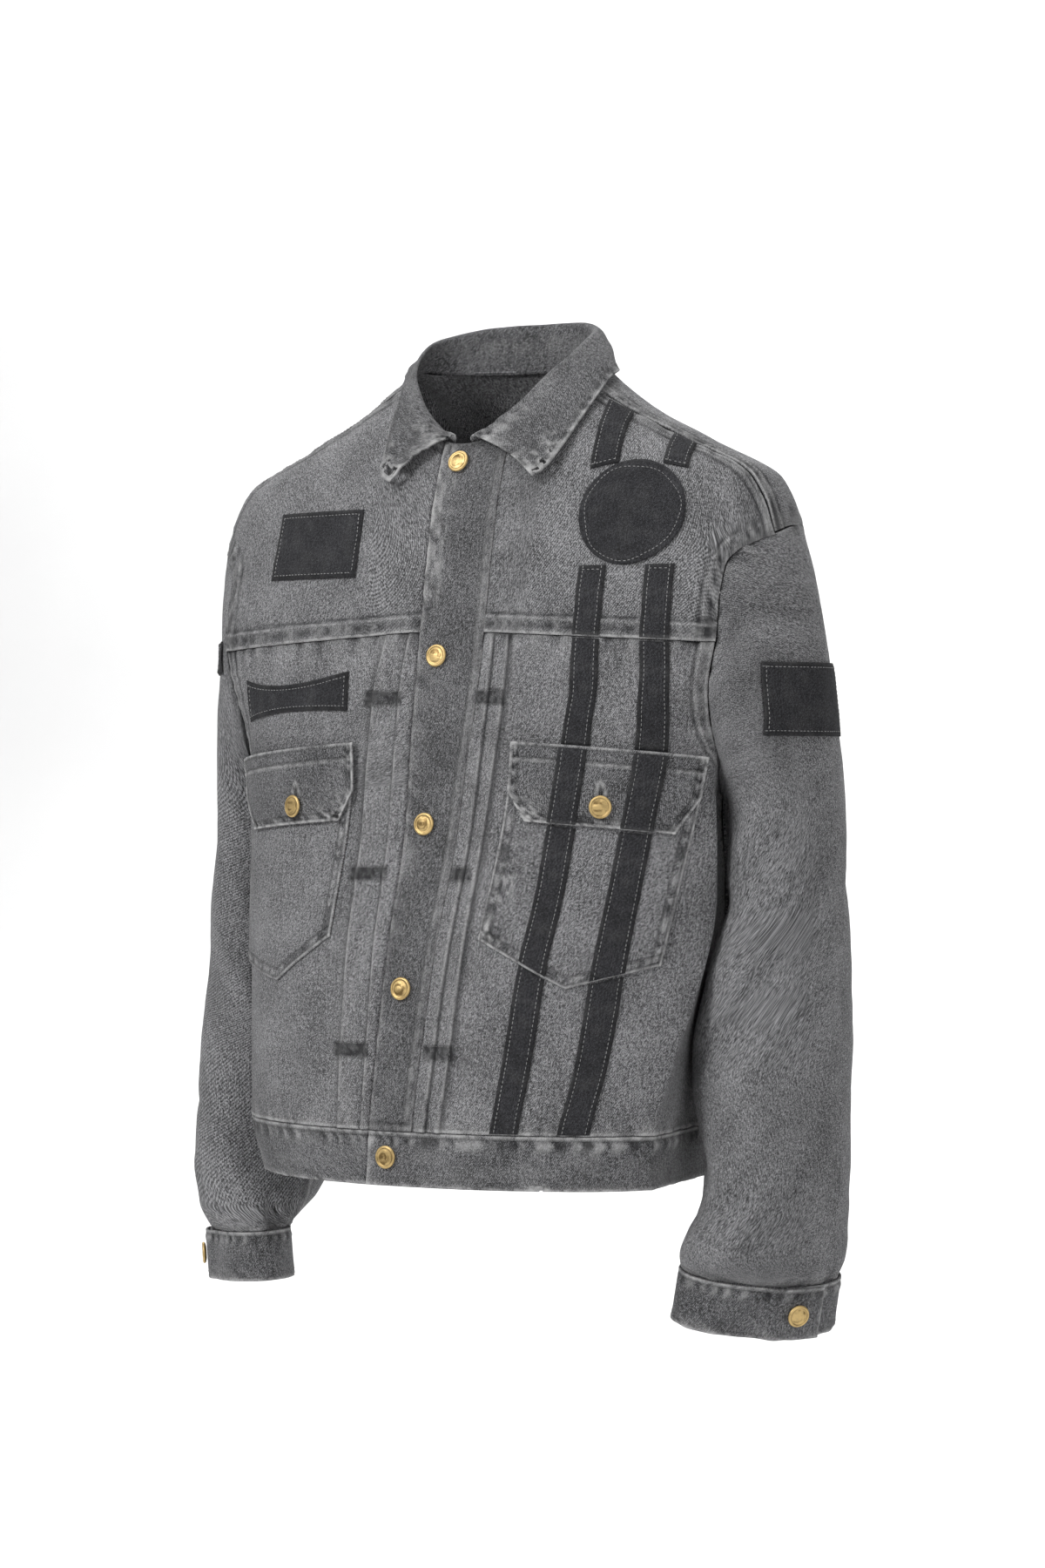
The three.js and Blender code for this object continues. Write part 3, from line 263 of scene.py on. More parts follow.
def trough(folds, across, z):
    total = np.zeros(np.broadcast(across, z).shape)
    for ax, az, bx, bz, half, depth in folds:
        run = (bx - ax, bz - az)
        t = ((across - ax) * run[0] + (z - az) * run[1]) / (run[0] ** 2 + run[1] ** 2)
        t = np.clip(t, 0, 1)
        away = np.hypot(across - ax - run[0] * t, z - az - run[1] * t) / half
        total = total + depth * np.exp(-away * away) * (1 - (2 * t - 1) ** 4)
    return total


def depth_at(facing, z):
    """How far the body reaches to the front, or to the back when facing isn't negative."""
    return np.where(facing < 0, front_depth(z), back_depth(z))


def fold_depth(facing, x, z):
    return np.where(facing < 0, trough(FRONT_FOLDS, x, z), -trough(BACK_FOLDS, x, z))


def section_point(angle, z):
    angle, z = np.broadcast_arrays(np.asarray(angle, float), np.asarray(z, float))
    root = 2 / power(z)
    c, s = np.cos(angle), np.sin(angle)
    side = np.where(c < 0, -1.0, 1.0)
    x = side * np.abs(c) ** root * half_width(z)
    plain = np.sign(s) * np.abs(s) ** root * depth_at(s, z)
    y = plain + fold_depth(s, x, z) * np.abs(s)
    return np.stack([x - side * tuck(side, plain, z), y, z], -1)


def angle_at_x(x, z):
    return np.arccos(np.sign(x) * np.minimum(np.abs(x) / half_width(z), 1) ** (power(z) / 2))


def angle_at_y(y, z):
    ratio = np.minimum(np.abs(y) / depth_at(y, z), 1)
    return np.sign(y) * np.arcsin(ratio ** (power(z) / 2))


def front_point(x, z):
    return section_point(-angle_at_x(x, z), z)


def outsideness(x, y, z):
    n = power(z)
    return (np.abs(x) / half_width(z)) ** n + (np.abs(y) / depth_at(y, z)) ** n - 1


def bisect(low, high, inside):
    for _ in range(34):
        middle = (low + high) / 2
        within = inside(middle)
        low, high = np.where(within, middle, low), np.where(within, high, middle)
    return low


def shoulder_z(x, y):
    x, y = np.broadcast_arrays(np.asarray(x, float), np.asarray(y, float))
    return bisect(np.full(x.shape, -200.0), np.full(x.shape, -2.0),
                  lambda z: outsideness(x, y, z) < 0)


def neck_y(x, facing):
    reach = NECK_FRONT if facing < 0 else NECK_BACK
    return facing * reach * np.sqrt(np.maximum(1 - (x / NECK_HALF) ** 2, 0))


def neck_z(x):
    return shoulder_z(x, neck_y(x, -1))


def yoke_seam_z(x):
    return lerp(YOKE_SEAM_MIDDLE, YOKE_SEAM_END, np.minimum(np.abs(x) / 205, 1))


def over_shoulder(x, angle, middle_z, facing):
    x, angle = np.broadcast_arrays(np.asarray(x, float), np.asarray(angle, float))
    c, s = np.cos(angle), np.sin(angle)
    reach = bisect(np.zeros(x.shape), np.full(x.shape, 330.0),
                   lambda r: (middle_z + r * s < -2)
                   & (outsideness(x, facing * r * c, middle_z + r * s) < 0))
    y, z = facing * reach * c, middle_z + reach * s
    return np.stack([x, y + fold_depth(y, x, z) * np.abs(c), z], -1)


# The armhole as a smooth ring: its points in side view at any place between the listed ones

def ring_at(k):
    k = np.asarray(k, float)
    i = np.floor(k).astype(int)
    t = (k - i)[..., None]
    p = [ARMHOLE[(i + step) % len(ARMHOLE)] for step in (-1, 0, 1, 2)]
    return between_middle_two(p, t)


def armhole_point(k):
    yz = ring_at(k)
    return section_point(angle_at_y(yz[..., 0], yz[..., 1]), yz[..., 1])


def armhole_y(z, start, end):
    ring = ring_at(np.linspace(start, end, 400))
    order = np.argsort(ring[:, 1])
    return np.interp(z, ring[order, 1], ring[order, 0])


# Grids of points: rows go down, and each row turns left round the wearer

def normals_of(grid, closed=False):
    down = np.gradient(grid, axis=0)
    if closed:
        across = np.roll(grid, -1, axis=1) - np.roll(grid, 1, axis=1)
    else:
        across = np.gradient(grid, axis=1)
    return unit(np.cross(down, across))


def run_down(grid):
    gaps = np.linalg.norm(np.diff(grid, axis=0), axis=-1)
    return np.vstack([np.zeros((1, grid.shape[1])), np.cumsum(gaps, axis=0)])


def run_across(grid, closed=False):
    whole = np.concatenate([grid, grid[:, :1]], axis=1) if closed else grid
    gaps = np.linalg.norm(np.diff(whole, axis=1), axis=-1)
    return np.hstack([np.zeros((grid.shape[0], 1)), np.cumsum(gaps, axis=1)])


class Cloth:
    """One cut piece: its points, and how far each lies from the piece's edges."""

    def __init__(self, name, grid, closed=False, seed=1):
        self.name, self.grid, self.closed, self.seed = name, grid, closed, seed
        self.normals = normals_of(grid, closed)
        self.down = run_down(grid)
        self.across = run_across(grid, closed)
        self.u = self.across[:, :grid.shape[1]]
        self.top = self.down
        self.low = self.down[-1:] - self.down
        self.left = self.u
        self.right = self.across[:, -1:] - self.u
        self.lift = np.zeros(self.u.shape)
        self.wear = np.zeros(self.u.shape)
        self.shade = np.zeros(self.u.shape)

    def free_edges(self):
        """Both side edges and the lower one, each with its own long way."""
        return (self.left, self.down), (self.right, self.down), (self.low, self.u)

    def slack(self, size=1.0):
        self.lift += size * uneven(self.u, self.down, self.seed)

    def ridge(self, away, along, at, width, height, wear, pitch=3.4, lean=0.6, ripple=0.6):
        """A sewn ridge with its small puckers, away from an edge and along it."""
        band = bell(away - at, width)
        wave = noise((along + lean * away) / pitch, away / (3 * pitch), self.seed + 5)
        slow = 0.5 + 0.5 * noise(along / 34, away / 34, self.seed + 9)
        self.lift += band * (height + ripple * height * wave)
        self.wear += band * wear * np.clip(0.45 + 0.35 * slow + 0.55 * wave, 0, 1.3)

    def groove(self, away, at, width, depth, shade):
        # A sunk line along an edge, with painted shade laid into it.
        band = bell(away - at, width)
        self.lift -= band * depth
        self.shade += band * shade

    def pucker(self, away, along, reach, depth, wear, pitch=7.0, lean=0.25):
        """Short gathers that run out from a seam and die away."""
        fade = np.clip(1 - away / reach, 0, 1) ** 1.5
        wave = noise((along + lean * away) / pitch, away / (6 * pitch), self.seed + 7)
        self.lift += fade * depth * wave
        self.wear += fade * wear * np.clip(wave, 0, 1)
        # The troughs get painted shade, in step with the wear on the crests.
        self.shade += fade * wear * 1.5 * np.clip(-wave, 0, 1)

    def fell(self, away, along, width, height=0.8, wear=0.8):
        """A flat felled seam: a raised band with a ridge at both its sides."""
        self.lift += height * smooth((width + 1.2 - away) / 2.4)
        self.ridge(away, along, 1.0, 1.1, 0.35, wear, ripple=0.9)
        self.ridge(away, along, width - 1.0, 1.0, 0.3, wear * 0.75, ripple=0.9)
        self.pucker(np.abs(away - width / 2), along, width * 0.7, 0.5, wear * 0.55, pitch=3.6, lean=0.8)
        # Painted shade in the groove beyond the band; the band's middle is darker too.
        self.groove(away, width + 1.9, 1.3, 0.25, 0.8)
        self.shade += 0.45 * bell(away - width / 2, width * 0.28)
        self.pucker(np.maximum(away - width, 0), along, 22, 0.55, wear * 0.22, pitch=6)

    def outer(self):
        return self.grid + self.normals * self.lift[..., None]


def put_mesh(name, points, faces, uv=None, values=None):
    mesh = bpy.data.meshes.new(name)
    mesh.vertices.add(len(points))
    mesh.vertices.foreach_set("co", (np.asarray(points) * MM).astype(np.float32).ravel())
    faces = np.asarray(faces)
    count, sides = faces.shape
    mesh.loops.add(count * sides)
    mesh.loops.foreach_set("vertex_index", faces.astype(np.int32).ravel())
    mesh.polygons.add(count)
    mesh.polygons.foreach_set("loop_start", (np.arange(count) * sides).astype(np.int32))
    mesh.polygons.foreach_set("loop_total", np.full(count, sides, np.int32))
    mesh.update(calc_edges=True)
    mesh.polygons.foreach_set("use_smooth", np.ones(count, bool))
    if uv is not None:
        layer = mesh.uv_layers.new(name="cloth")
        layer.data.foreach_set("uv", uv.astype(np.float32).ravel())
    for key, value in (values or {}).items():
        layer = mesh.attributes.new(key, "FLOAT", "POINT")
        layer.data.foreach_set("value", value.astype(np.float32).ravel())
    mesh.validate()
    item = bpy.data.objects.new(name, mesh)
    bpy.context.scene.collection.objects.link(item)
    return item


def sew(cloth, wall, keep=None):
    """A thin shell of the cloth with its rim; keep is a mask of the cells that stay."""
    rows, columns = cloth.u.shape
    outer = cloth.outer()
    inner = outer - cloth.normals * wall
    spans = columns if cloth.closed else columns - 1
    i, j = np.meshgrid(np.arange(rows - 1), np.arange(spans), indexing="ij")
    if keep is None:
        keep = np.ones(i.shape, bool)
    i, j = i[keep], j[keep]
    at = lambda layer, a, b: layer * rows * columns + a * columns + b % columns
    corners = [(0, [(0, 0), (1, 0), (1, 1), (0, 1)]), (1, [(0, 0), (0, 1), (1, 1), (1, 0)])]
    faces, places = [], []
    for layer, order in corners:
        faces.append(np.stack([at(layer, i + a, j + b) for a, b in order], -1))
        places.append(np.stack([np.stack([i + a, j + b], -1) for a, b in order], 1))
    padded = np.zeros((rows + 1, spans + 2), bool)
    padded[1:rows, 1:spans + 1] = keep
    if cloth.closed:
        padded[1:rows, 0], padded[1:rows, -1] = keep[:, -1], keep[:, 0]
    sides = [((-1, 0), (0, 0), (0, 1)), ((1, 0), (1, 1), (1, 0)),
             ((0, -1), (1, 0), (0, 0)), ((0, 1), (0, 1), (1, 1))]
    for (di, dj), first, second in sides:
        bare = ~padded[i + 1 + di, j + 1 + dj]
        a, b = i[bare], j[bare]
        ring = [(0,) + first, (0,) + second, (1,) + second, (1,) + first]
        faces.append(np.stack([at(layer, a + p, b + q) for layer, p, q in ring], -1))
        places.append(np.stack([np.stack([a + p, b + q], -1) for _, p, q in ring], 1))
    faces, places = np.concatenate(faces), np.concatenate(places).reshape(-1, 2)
    wide = cloth.across[places[:, 0], np.minimum(places[:, 1], cloth.across.shape[1] - 1)]
    tall = cloth.down[places[:, 0], places[:, 1] % columns]
    wear = np.concatenate([cloth.wear.ravel(), cloth.wear.ravel() * 0.3])
    shade = np.concatenate([cloth.shade.ravel(), cloth.shade.ravel() * 0.5])
    points = np.concatenate([outer.reshape(-1, 3), inner.reshape(-1, 3)])
    used, faces = np.unique(faces, return_inverse=True)
    faces = faces.reshape(-1, 4)
    return put_mesh(cloth.name, points[used], faces, np.stack([wide, -tall], -1) * 0.01,
                    {"wear": wear[used], "shade": shade[used]})


# Thread: each stitch is a short, round-ended length of its own

STITCHES = {}


def stitch_line(group, path, normals, pitch=3.3, length=2.3, radius=0.26, out=0.12, jitter=0.12):
    """Lays stitches along a line of points, and keeps them for the group's one mesh."""
    gaps = np.linalg.norm(np.diff(path, axis=0), axis=-1)
    run = np.concatenate([[0], np.cumsum(gaps)])
    count = int(run[-1] / pitch)
    if count < 1:
        return
    random = np.random.default_rng(int(run[-1] * 10) % 9973)
    middle = (np.arange(count) + 0.5) * run[-1] / count
    middle = middle + random.uniform(-jitter, jitter, count) * pitch
    read = lambda where, values: np.stack([np.interp(where, run, values[:, k]) for k in range(3)], -1)
    ends = [read(middle + side * length / 2, path) for side in (-1, 1)]
    normal = unit(read(middle, normals))
    along = unit(ends[1] - ends[0])
    sideways = np.cross(along, normal)
    centre = read(middle, path) + normal * out
    rings = []
    for step, size in ((-0.5, 0.35), (-0.26, 1.0), (0.26, 1.0), (0.5, 0.35)):
        sink = radius * 1.1 * (abs(step) * 2) ** 4
        base = centre + along * (step * length) - normal * sink
        for k in range(4):
            turn = 2 * math.pi * (k + 0.5) / 4
            rings.append(base + (sideways * math.cos(turn) + normal * math.sin(turn)) * radius * size)
    points = np.stack(rings, 1)
    faces = []
    for r in range(3):
        for k in range(4):
            faces.append([r * 4 + k, r * 4 + (k + 1) % 4, (r + 1) * 4 + (k + 1) % 4, (r + 1) * 4 + k])
    STITCHES.setdefault(group, []).append((points, np.array(faces)))


def thread_mesh(group):
    """All the stitches of a group, their ends closed with a point each."""
    all_points, all_faces, start = [], [], 0
    for points, faces in STITCHES[group]:
        count = len(points)
        ends = np.stack([points[:, :4].mean(1), points[:, -4:].mean(1)], 1)
        points = np.concatenate([points, ends], 1)
        offsets = start + np.arange(count) * points.shape[1]
        quads = (faces[None] + offsets[:, None, None]).reshape(-1, 4)
        all_faces.append(quads[:, [0, 1, 2]])
        all_faces.append(quads[:, [0, 2, 3]])
        for k in range(4):
            for centre, ring, flip in ((16, 0, True), (17, 12, False)):
                a, b = ring + k, ring + (k + 1) % 4
                order = [centre, b, a] if flip else [centre, a, b]
                all_faces.append(offsets[:, None] + np.array(order)[None])
        all_points.append(points.reshape(-1, 3))
        start += count * points.shape[1]
    return put_mesh("thread_" + group, np.concatenate(all_points), np.concatenate(all_faces))


def on_cloth(cloth, rows, columns):
    """Points and normals on a piece's outer face at fractional rows and columns."""
    outer = cloth.outer()
    high, wide = outer.shape[:2]
    rows = np.clip(rows, 0, high - 1.001)
    columns = columns % wide if cloth.closed else np.clip(columns, 0, wide - 1.001)
    i, j = np.floor(rows).astype(int), np.floor(columns).astype(int)
    s, t = (rows - i)[:, None], (columns - j)[:, None]
    k = (j + 1) % wide
    pick = lambda g: lerp(lerp(g[i, j], g[i + 1, j], s), lerp(g[i, k], g[i + 1, k], s), t)
    return pick(outer), pick(cloth.normals)


def seam_along_row(cloth, group, away, at, start=0.0, end=1.0, **how):
    """Stitches at one distance from the top or bottom edge, across part of the width."""
    wide = cloth.u.shape[1]
    columns = np.arange(int(start * (wide - 1)), int(end * (wide - 1)) + 1)
    rows = np.array([np.interp(at, *_rising(away[:, j])) for j in columns])
    if cloth.closed:
        columns, rows = np.append(columns, columns[0] + wide), np.append(rows, rows[0])
    path, normal = on_cloth(cloth, rows, columns.astype(float))
    stitch_line(group, path, normal, **how)


def seam_along_column(cloth, group, away, at, start=0.0, end=1.0, **how):
    """Stitches at one distance from a side edge, down part of the height."""
    high = cloth.u.shape[0]
    rows = np.arange(int(start * (high - 1)), int(end * (high - 1)) + 1)
    columns = np.array([np.interp(at, *_rising(away[i])) for i in rows])
    path, normal = on_cloth(cloth, rows.astype(float), columns)
    stitch_line(group, path, normal, **how)


def sew_edges(cloth, group, edges, places, **how):
    """Lines of stitches at each of the places from each of the named edges."""
    for edge in edges:
        along = seam_along_row if edge in ("top", "low") else seam_along_column
        for at in places:
            along(cloth, group, getattr(cloth, edge), at, **how)


def _rising(values):
    order = np.arange(len(values), dtype=float)
    return (values, order) if values[-1] > values[0] else (values[::-1], order[::-1])


# The cut pieces as fine grids

FRONT_SEED = 3


def turned(grid, side):
    """The same piece on the wearer's right, when side is -1."""
    return grid if side > 0 else (grid * [-1, 1, 1])[:, ::-1]


def between(marks, counts):
    """Columns between marks: each mark is (place, rise), a value for every row."""
    places, rises = [marks[0][0]], [marks[0][1]]
    for (x0, r0), (x1, r1), count in zip(marks, marks[1:], counts):
        for step in range(1, count + 1):
            places.append(lerp(x0, x1, step / count))
            rises.append(lerp(r0, r1, step / count))
    return np.stack(places, 1), np.stack(rises, 1)


def front(side, rows=136, far_columns=66):
    t = close_ends(rows)
    z = lerp(YOKE_SEAM_END - SEAM_GAP, BAND_TOP_Z + SEAM_GAP, t)
    line = closure_line(z) * side
    name = "left" if side > 0 else "right"
    folds = [line + curve(PLEATS, name + str(k))(z) for k in (1, 2)]
    flat = np.zeros(rows)
    if side > 0:
        marks = [(line + placket_inner(z) + SEAM_GAP, flat)]
        counts = []
    else:
        lap = line + PLACKET_LAP + 1.2
        marks = [(line - UNDERLAP, flat - LAP), (line + 2, flat - LAP), (lap, flat - LAP),
                 (lap + 2.4, flat)]
        counts = [6, 6, 3]
    for fold in folds:
        marks += [(fold - 0.3, flat + PLEAT_RISE), (fold + PLEAT_STEP, flat + 0.2)]
        counts += [9, 3]
    near_x, rise = between(marks, counts)
    top = lambda x: yoke_seam_z(x) - SEAM_GAP
    height = lambda x: lerp(top(x), BAND_TOP_Z + SEAM_GAP, t[:, None])
    near_z = height(near_x)
    near = np.stack([near_x, front_point(near_x * side, near_z)[..., 1] - rise, near_z], -1)
    edge_y = np.where(z > SIDE_SEAM_TOP_Z, armhole_y(z, YOKE_SEAM_AT, UNDERARM_AT), tuck_middle(z))
    edge_y = edge_y - SEAM_GAP
    start, end = -angle_at_x(near_x[:, -1], z), angle_at_y(edge_y, z)
    angle = lerp(start[:, None], end[:, None], np.linspace(0, 1, far_columns + 1)[None, 1:])
    z_far = height(section_point(angle, z[:, None])[..., 0])
    far = section_point(angle if side > 0 else -math.pi - angle, z_far)
    far[..., 0] *= side
    grid = turned(np.concatenate([near, far], 1), side)
    fold_columns = [sum(counts[:len(counts) - 3]), sum(counts[:-1])]
    if side < 0:
        fold_columns = [grid.shape[1] - 1 - c for c in fold_columns]
    return grid, fold_columns


def armhole_run(start, end, count):
    return armhole_point(lerp(start, end, close_ends(count)))


def front_yoke(side, rows=64, columns=76):
    edge = armhole_run(SHOULDER_SEAM_AT, YOKE_SEAM_AT, rows)
    middle = -235.0
    angle_of = lambda y, z: np.arctan2(z - middle, -y)
    inner = float(placket_inner(-150)) + SEAM_GAP
    lap = PLACKET_LAP + 3.6
    if side > 0:
        start = np.full(columns, inner)
        s = np.linspace(0, 1, columns)
    else:
        start = np.concatenate([np.linspace(-UNDERLAP, lap, 26), np.full(columns - 1, lap)])
        s = np.concatenate([np.zeros(26), np.linspace(0, 1, columns)[1:]])
    top_x = lerp(start, edge[0, 0], s)
    top_y = np.minimum(np.where(np.abs(top_x) < NECK_HALF, neck_y(top_x, -1), 0), SHOULDER_SEAM_Y)
    top = angle_of(top_y - 3 * SEAM_GAP, shoulder_z(top_x, top_y))
    low_x = lerp(start, edge[-1, 0], s)
    low_z = yoke_seam_z(low_x) + SEAM_GAP
    low = angle_of(front_point(low_x * side, low_z)[..., 1], low_z)
    edge_angle = angle_of(edge[:, 1], edge[:, 2])
    as_edge = ((edge_angle[0] - edge_angle) / (edge_angle[0] - edge_angle[-1]))[:, None]
    even = close_ends(rows)[:, None]
    angle = lerp(top, low, lerp(even, as_edge, s ** 2))
    x = lerp(start[None], edge[:, :1], s[None])
    grid = over_shoulder(x, angle, middle, -1)
    lapped = LAP * (1 - smooth((start - PLACKET_LAP - 1.2) / 2.4)) * (s == 0) * (side < 0)
    grid[..., 1] += lapped - 1.5 * SEAM_GAP * s ** 8
    return turned(grid, side)


def back_yoke(rows=74, half_columns=84):
    edge = armhole_run(SHOULDER_SEAM_AT, BACK_SEAM_AT - len(ARMHOLE), rows)
    middle = -190.0
    angle_of = lambda y, z: np.arctan2(z - middle, y)
    s = np.linspace(1, -1, 2 * half_columns + 1)
    size = np.abs(s)
    top_x = size * edge[0, 0]
    top_y = np.where(top_x < NECK_HALF, neck_y(top_x, 1), SHOULDER_SEAM_Y)
    top_y = top_y + 2 * SEAM_GAP - UNDER_COLLAR * smooth((NECK_HALF - 6 - top_x) / 12)
    top = angle_of(top_y, shoulder_z(top_x, top_y))
    low_x = size * edge[-1, 0]
    low_y = section_point(angle_at_x(low_x, BACK_SEAM_Z), BACK_SEAM_Z)[..., 1]
    low = angle_of(low_y, BACK_SEAM_Z + SEAM_GAP)
    edge_angle = angle_of(edge[:, 1], edge[:, 2])
    as_edge = ((edge_angle[0] - edge_angle) / (edge_angle[0] - edge_angle[-1]))[:, None]
    even = close_ends(rows)[:, None]
    angle = lerp(top, low, lerp(even, as_edge, size ** 4))
    grid = over_shoulder(s * edge[:, :1], angle, middle, 1)
    grid[..., 1] += 1.5 * SEAM_GAP * size ** 12
    return grid


def back(rows=128, columns=150):
    z = lerp(BACK_SEAM_Z - SEAM_GAP, BAND_TOP_Z + SEAM_GAP, close_ends(rows))
    edge_y = np.where(z > SIDE_SEAM_TOP_Z, armhole_y(z, UNDERARM_AT, BACK_SEAM_AT), tuck_middle(z))
    edge_y = edge_y + SEAM_GAP
    edge = angle_at_y(edge_y, z)[:, None]
    return section_point(lerp(edge, math.pi - edge, np.linspace(0, 1, columns)), z[:, None])


def placket(rows=190, columns=28):
    t, s = np.linspace(0, 1, rows)[:, None], np.linspace(0, 1, columns)[None]
    level = lerp(-62.0, BAND_TOP_Z + SEAM_GAP, t)
    x = closure_line(level) + lerp(-PLACKET_LAP, placket_inner(level), s)
    top = neck_z(x)
    return front_point(x, lerp(top, BAND_TOP_Z + SEAM_GAP, t))


def waistband(rows=24, columns=440, under_columns=22):
    z = lerp(BAND_TOP_Z - SEAM_GAP, HEM_Z, close_ends(rows))
    line = closure_line(z)
    over_end = -angle_at_x(line - PLACKET_LAP, z)
    under_start = -angle_at_x(line - PLACKET_LAP - 2.2, z) + 2 * math.pi
    round_it = lerp(over_end[:, None], under_start[:, None], np.linspace(0, 1, columns)[None])
    first = section_point(round_it, z[:, None])
    under_x = lerp(-PLACKET_LAP - 2.2, UNDERLAP, np.linspace(0, 1, under_columns)[None, 1:])
    under = front_point(line[:, None] + under_x, z[:, None] + 0 * under_x)
    under[..., 1] += (LAP + 1.4) * smooth((under_x + PLACKET_LAP + 2.2) / 1.8)
    return np.concatenate([first, under], 1)


sleeve_x, sleeve_y, sleeve_turn = curve(SLEEVE, "x"), curve(SLEEVE, "y"), curve(SLEEVE, "turn")
sleeve_long, sleeve_short = curve(SLEEVE, "long"), curve(SLEEVE, "short")
SLEEVE_ROUND = 340


def oval(x, y, long, short, turn, share):
    lean = np.radians(turn)
    way = -share * 2 * math.pi
    phase = np.arctan2(np.sin(way - lean) / short, np.cos(way - lean) / long)
    a, b = long * np.cos(phase), short * np.sin(phase)
    return np.stack([x + a * np.cos(lean) - b * np.sin(lean),
                     y + a * np.sin(lean) + b * np.cos(lean)], -1)


def sleeve_plain(share, z):
    share, z = np.broadcast_arrays(share, z)
    flat = oval(sleeve_x(z), sleeve_y(z), sleeve_long(z), sleeve_short(z), sleeve_turn(z), share)
    middle = np.stack([sleeve_x(z), sleeve_y(z)], -1)
    folds = [(a * SLEEVE_ROUND, b, c * SLEEVE_ROUND, d, e, f) for a, b, c, d, e, f in SLEEVE_FOLDS]
    depth = trough(folds, share * SLEEVE_ROUND, z)
    flat = flat - unit(flat - middle) * depth[..., None]
    return np.concatenate([flat, z[..., None]], -1)


def torso_side_x(side, y, z):
    ratio = np.minimum(np.abs(y) / depth_at(y, z), 1)
    n = power(z)
    return half_width(z) * (1 - ratio ** n) ** (1 / n) - tuck(side, y, z)


def clear_of_body(side, points):
    x, y, z = points[..., 0], points[..., 1], points[..., 2]
    wall = torso_side_x(side, y, z) + 2
    apart = x - wall
    x = wall + 0.5 * (apart + np.sqrt(apart ** 2 + 5.0))
    return np.stack([x, y, z], -1)


def cuff_top_z(side, x, y):
    top, outward, backward = CUFF_SET[side]
    return top + outward * (x - CUFF_X) + backward * (y - CUFF_Y)


def towards_cuff(side, points):
    """Below the forearm the rows tilt by degrees, to end along the cuff's top."""
    x, y, z = points[..., 0], points[..., 1], points[..., 2]
    share = np.clip((FOREARM_Z - z) / (FOREARM_Z - WRIST_Z), 0, 1)
    return np.stack([x, y, z + share * (cuff_top_z(side, x, y) + 3 * SEAM_GAP - WRIST_Z)], -1)


def armhole_shares():
    gaps = np.linalg.norm(np.roll(ARMHOLE, -1, axis=0) - ARMHOLE, axis=1)
    return np.concatenate([[0], np.cumsum(gaps)]) / gaps.sum()


SHARES = armhole_shares()


def sleeve(side, cap_rows=60, rows=120, columns=144):
    k = np.arange(columns) * len(ARMHOLE) / columns
    share = np.interp(k, np.arange(len(SHARES)), SHARES)
    start = armhole_point(k) + [0.9, 0, 0]
    end = clear_of_body(side, sleeve_plain(share, CAP_END_Z))
    away = unit(ring_at(k) - [3, -232])
    reach = np.linalg.norm(end - start, axis=-1, keepdims=True) / 3
    leave = unit(np.stack([np.full(columns, 0.22), 0.1 + away[:, 0] * 0.12,
                           np.full(columns, -0.92)], -1))
    first, second = start + leave * reach, end + np.array([0, 0, 1.0]) * reach
    t = np.linspace(0, 1, cap_rows)[:, None, None]
    cap = ((1 - t) ** 3 * start + 3 * (1 - t) ** 2 * t * first + 3 * (1 - t) * t * t * second
           + t ** 3 * end)
    z = np.linspace(CAP_END_Z, WRIST_Z, rows)[1:, None]
    tube = towards_cuff(side, clear_of_body(side, sleeve_plain(share[None], z)))
    grid = np.concatenate([cap, tube], 0)[:, ::-1]
    return turned(grid, side), share[::-1] if side > 0 else share


def cuff_point(side, share, over, down):
    _, outward, backward = CUFF_SET[side]
    grow = over + 0.6 * smooth(down / 6)
    share, grow, down = np.broadcast_arrays(share, grow, down)
    flat = oval(CUFF_X, CUFF_Y, CUFF_LONG + grow, CUFF_SHORT + grow, CUFF_TURN, share)
    x, y = flat[..., 0], flat[..., 1]
    return np.stack([x + outward * down, y + backward * down, cuff_top_z(side, x, y) - down], -1)


def cuff(side, rows=24, columns=200):
    down = CUFF_HEIGHT * close_ends(rows)[:, None]
    t = np.linspace(1.1, 0, columns)[None]
    over = CUFF_OVER * np.clip((0.21 - t) / 0.08, 0, 1)
    grid = cuff_point(side, CUFF_OVER_END + t, smooth(over / CUFF_OVER) * CUFF_OVER, down)
    return turned(grid, side), t[0] if side > 0 else t[0, ::-1]


def spline_rows(values, places):
    """A smooth run through the rows of a table, read at fractional places."""
    values = np.asarray(values, float)
    last = len(values) - 1
    i = np.clip(np.floor(places).astype(int), 0, last - 1)
    t = (places - i).reshape((-1,) + (1,) * (values.ndim - 1))
    p = [values[np.clip(i + step, 0, last)] for step in (-1, 0, 1, 2)]
    return between_middle_two(p, t)


def collar_profile(seam, fold, edge):
    across = unit((edge - seam) * [1, 1, 0])
    up = np.array([0, 0, 1.0])
    rise = np.maximum(np.linalg.norm(fold - seam, axis=-1, keepdims=True), 1)
    roll = np.minimum(COLLAR_ROLL, rise * 0.45)
    over = fold + across * roll * 1.9 - up * roll * 0.75
    middle = lerp(over, edge, 0.5) + (up + across * 0.6) * COLLAR_BULGE * 0.7
    return [seam, lerp(seam, fold, 0.5) - across * 0.6, fold - across * roll * 0.9 - up * roll * 0.9,
            fold + across * roll * 0.2, over, lerp(lerp(over, middle, 0.5), middle, 0.1), middle,
            lerp(middle, edge, 0.5) + up * COLLAR_BULGE * 0.22, edge]


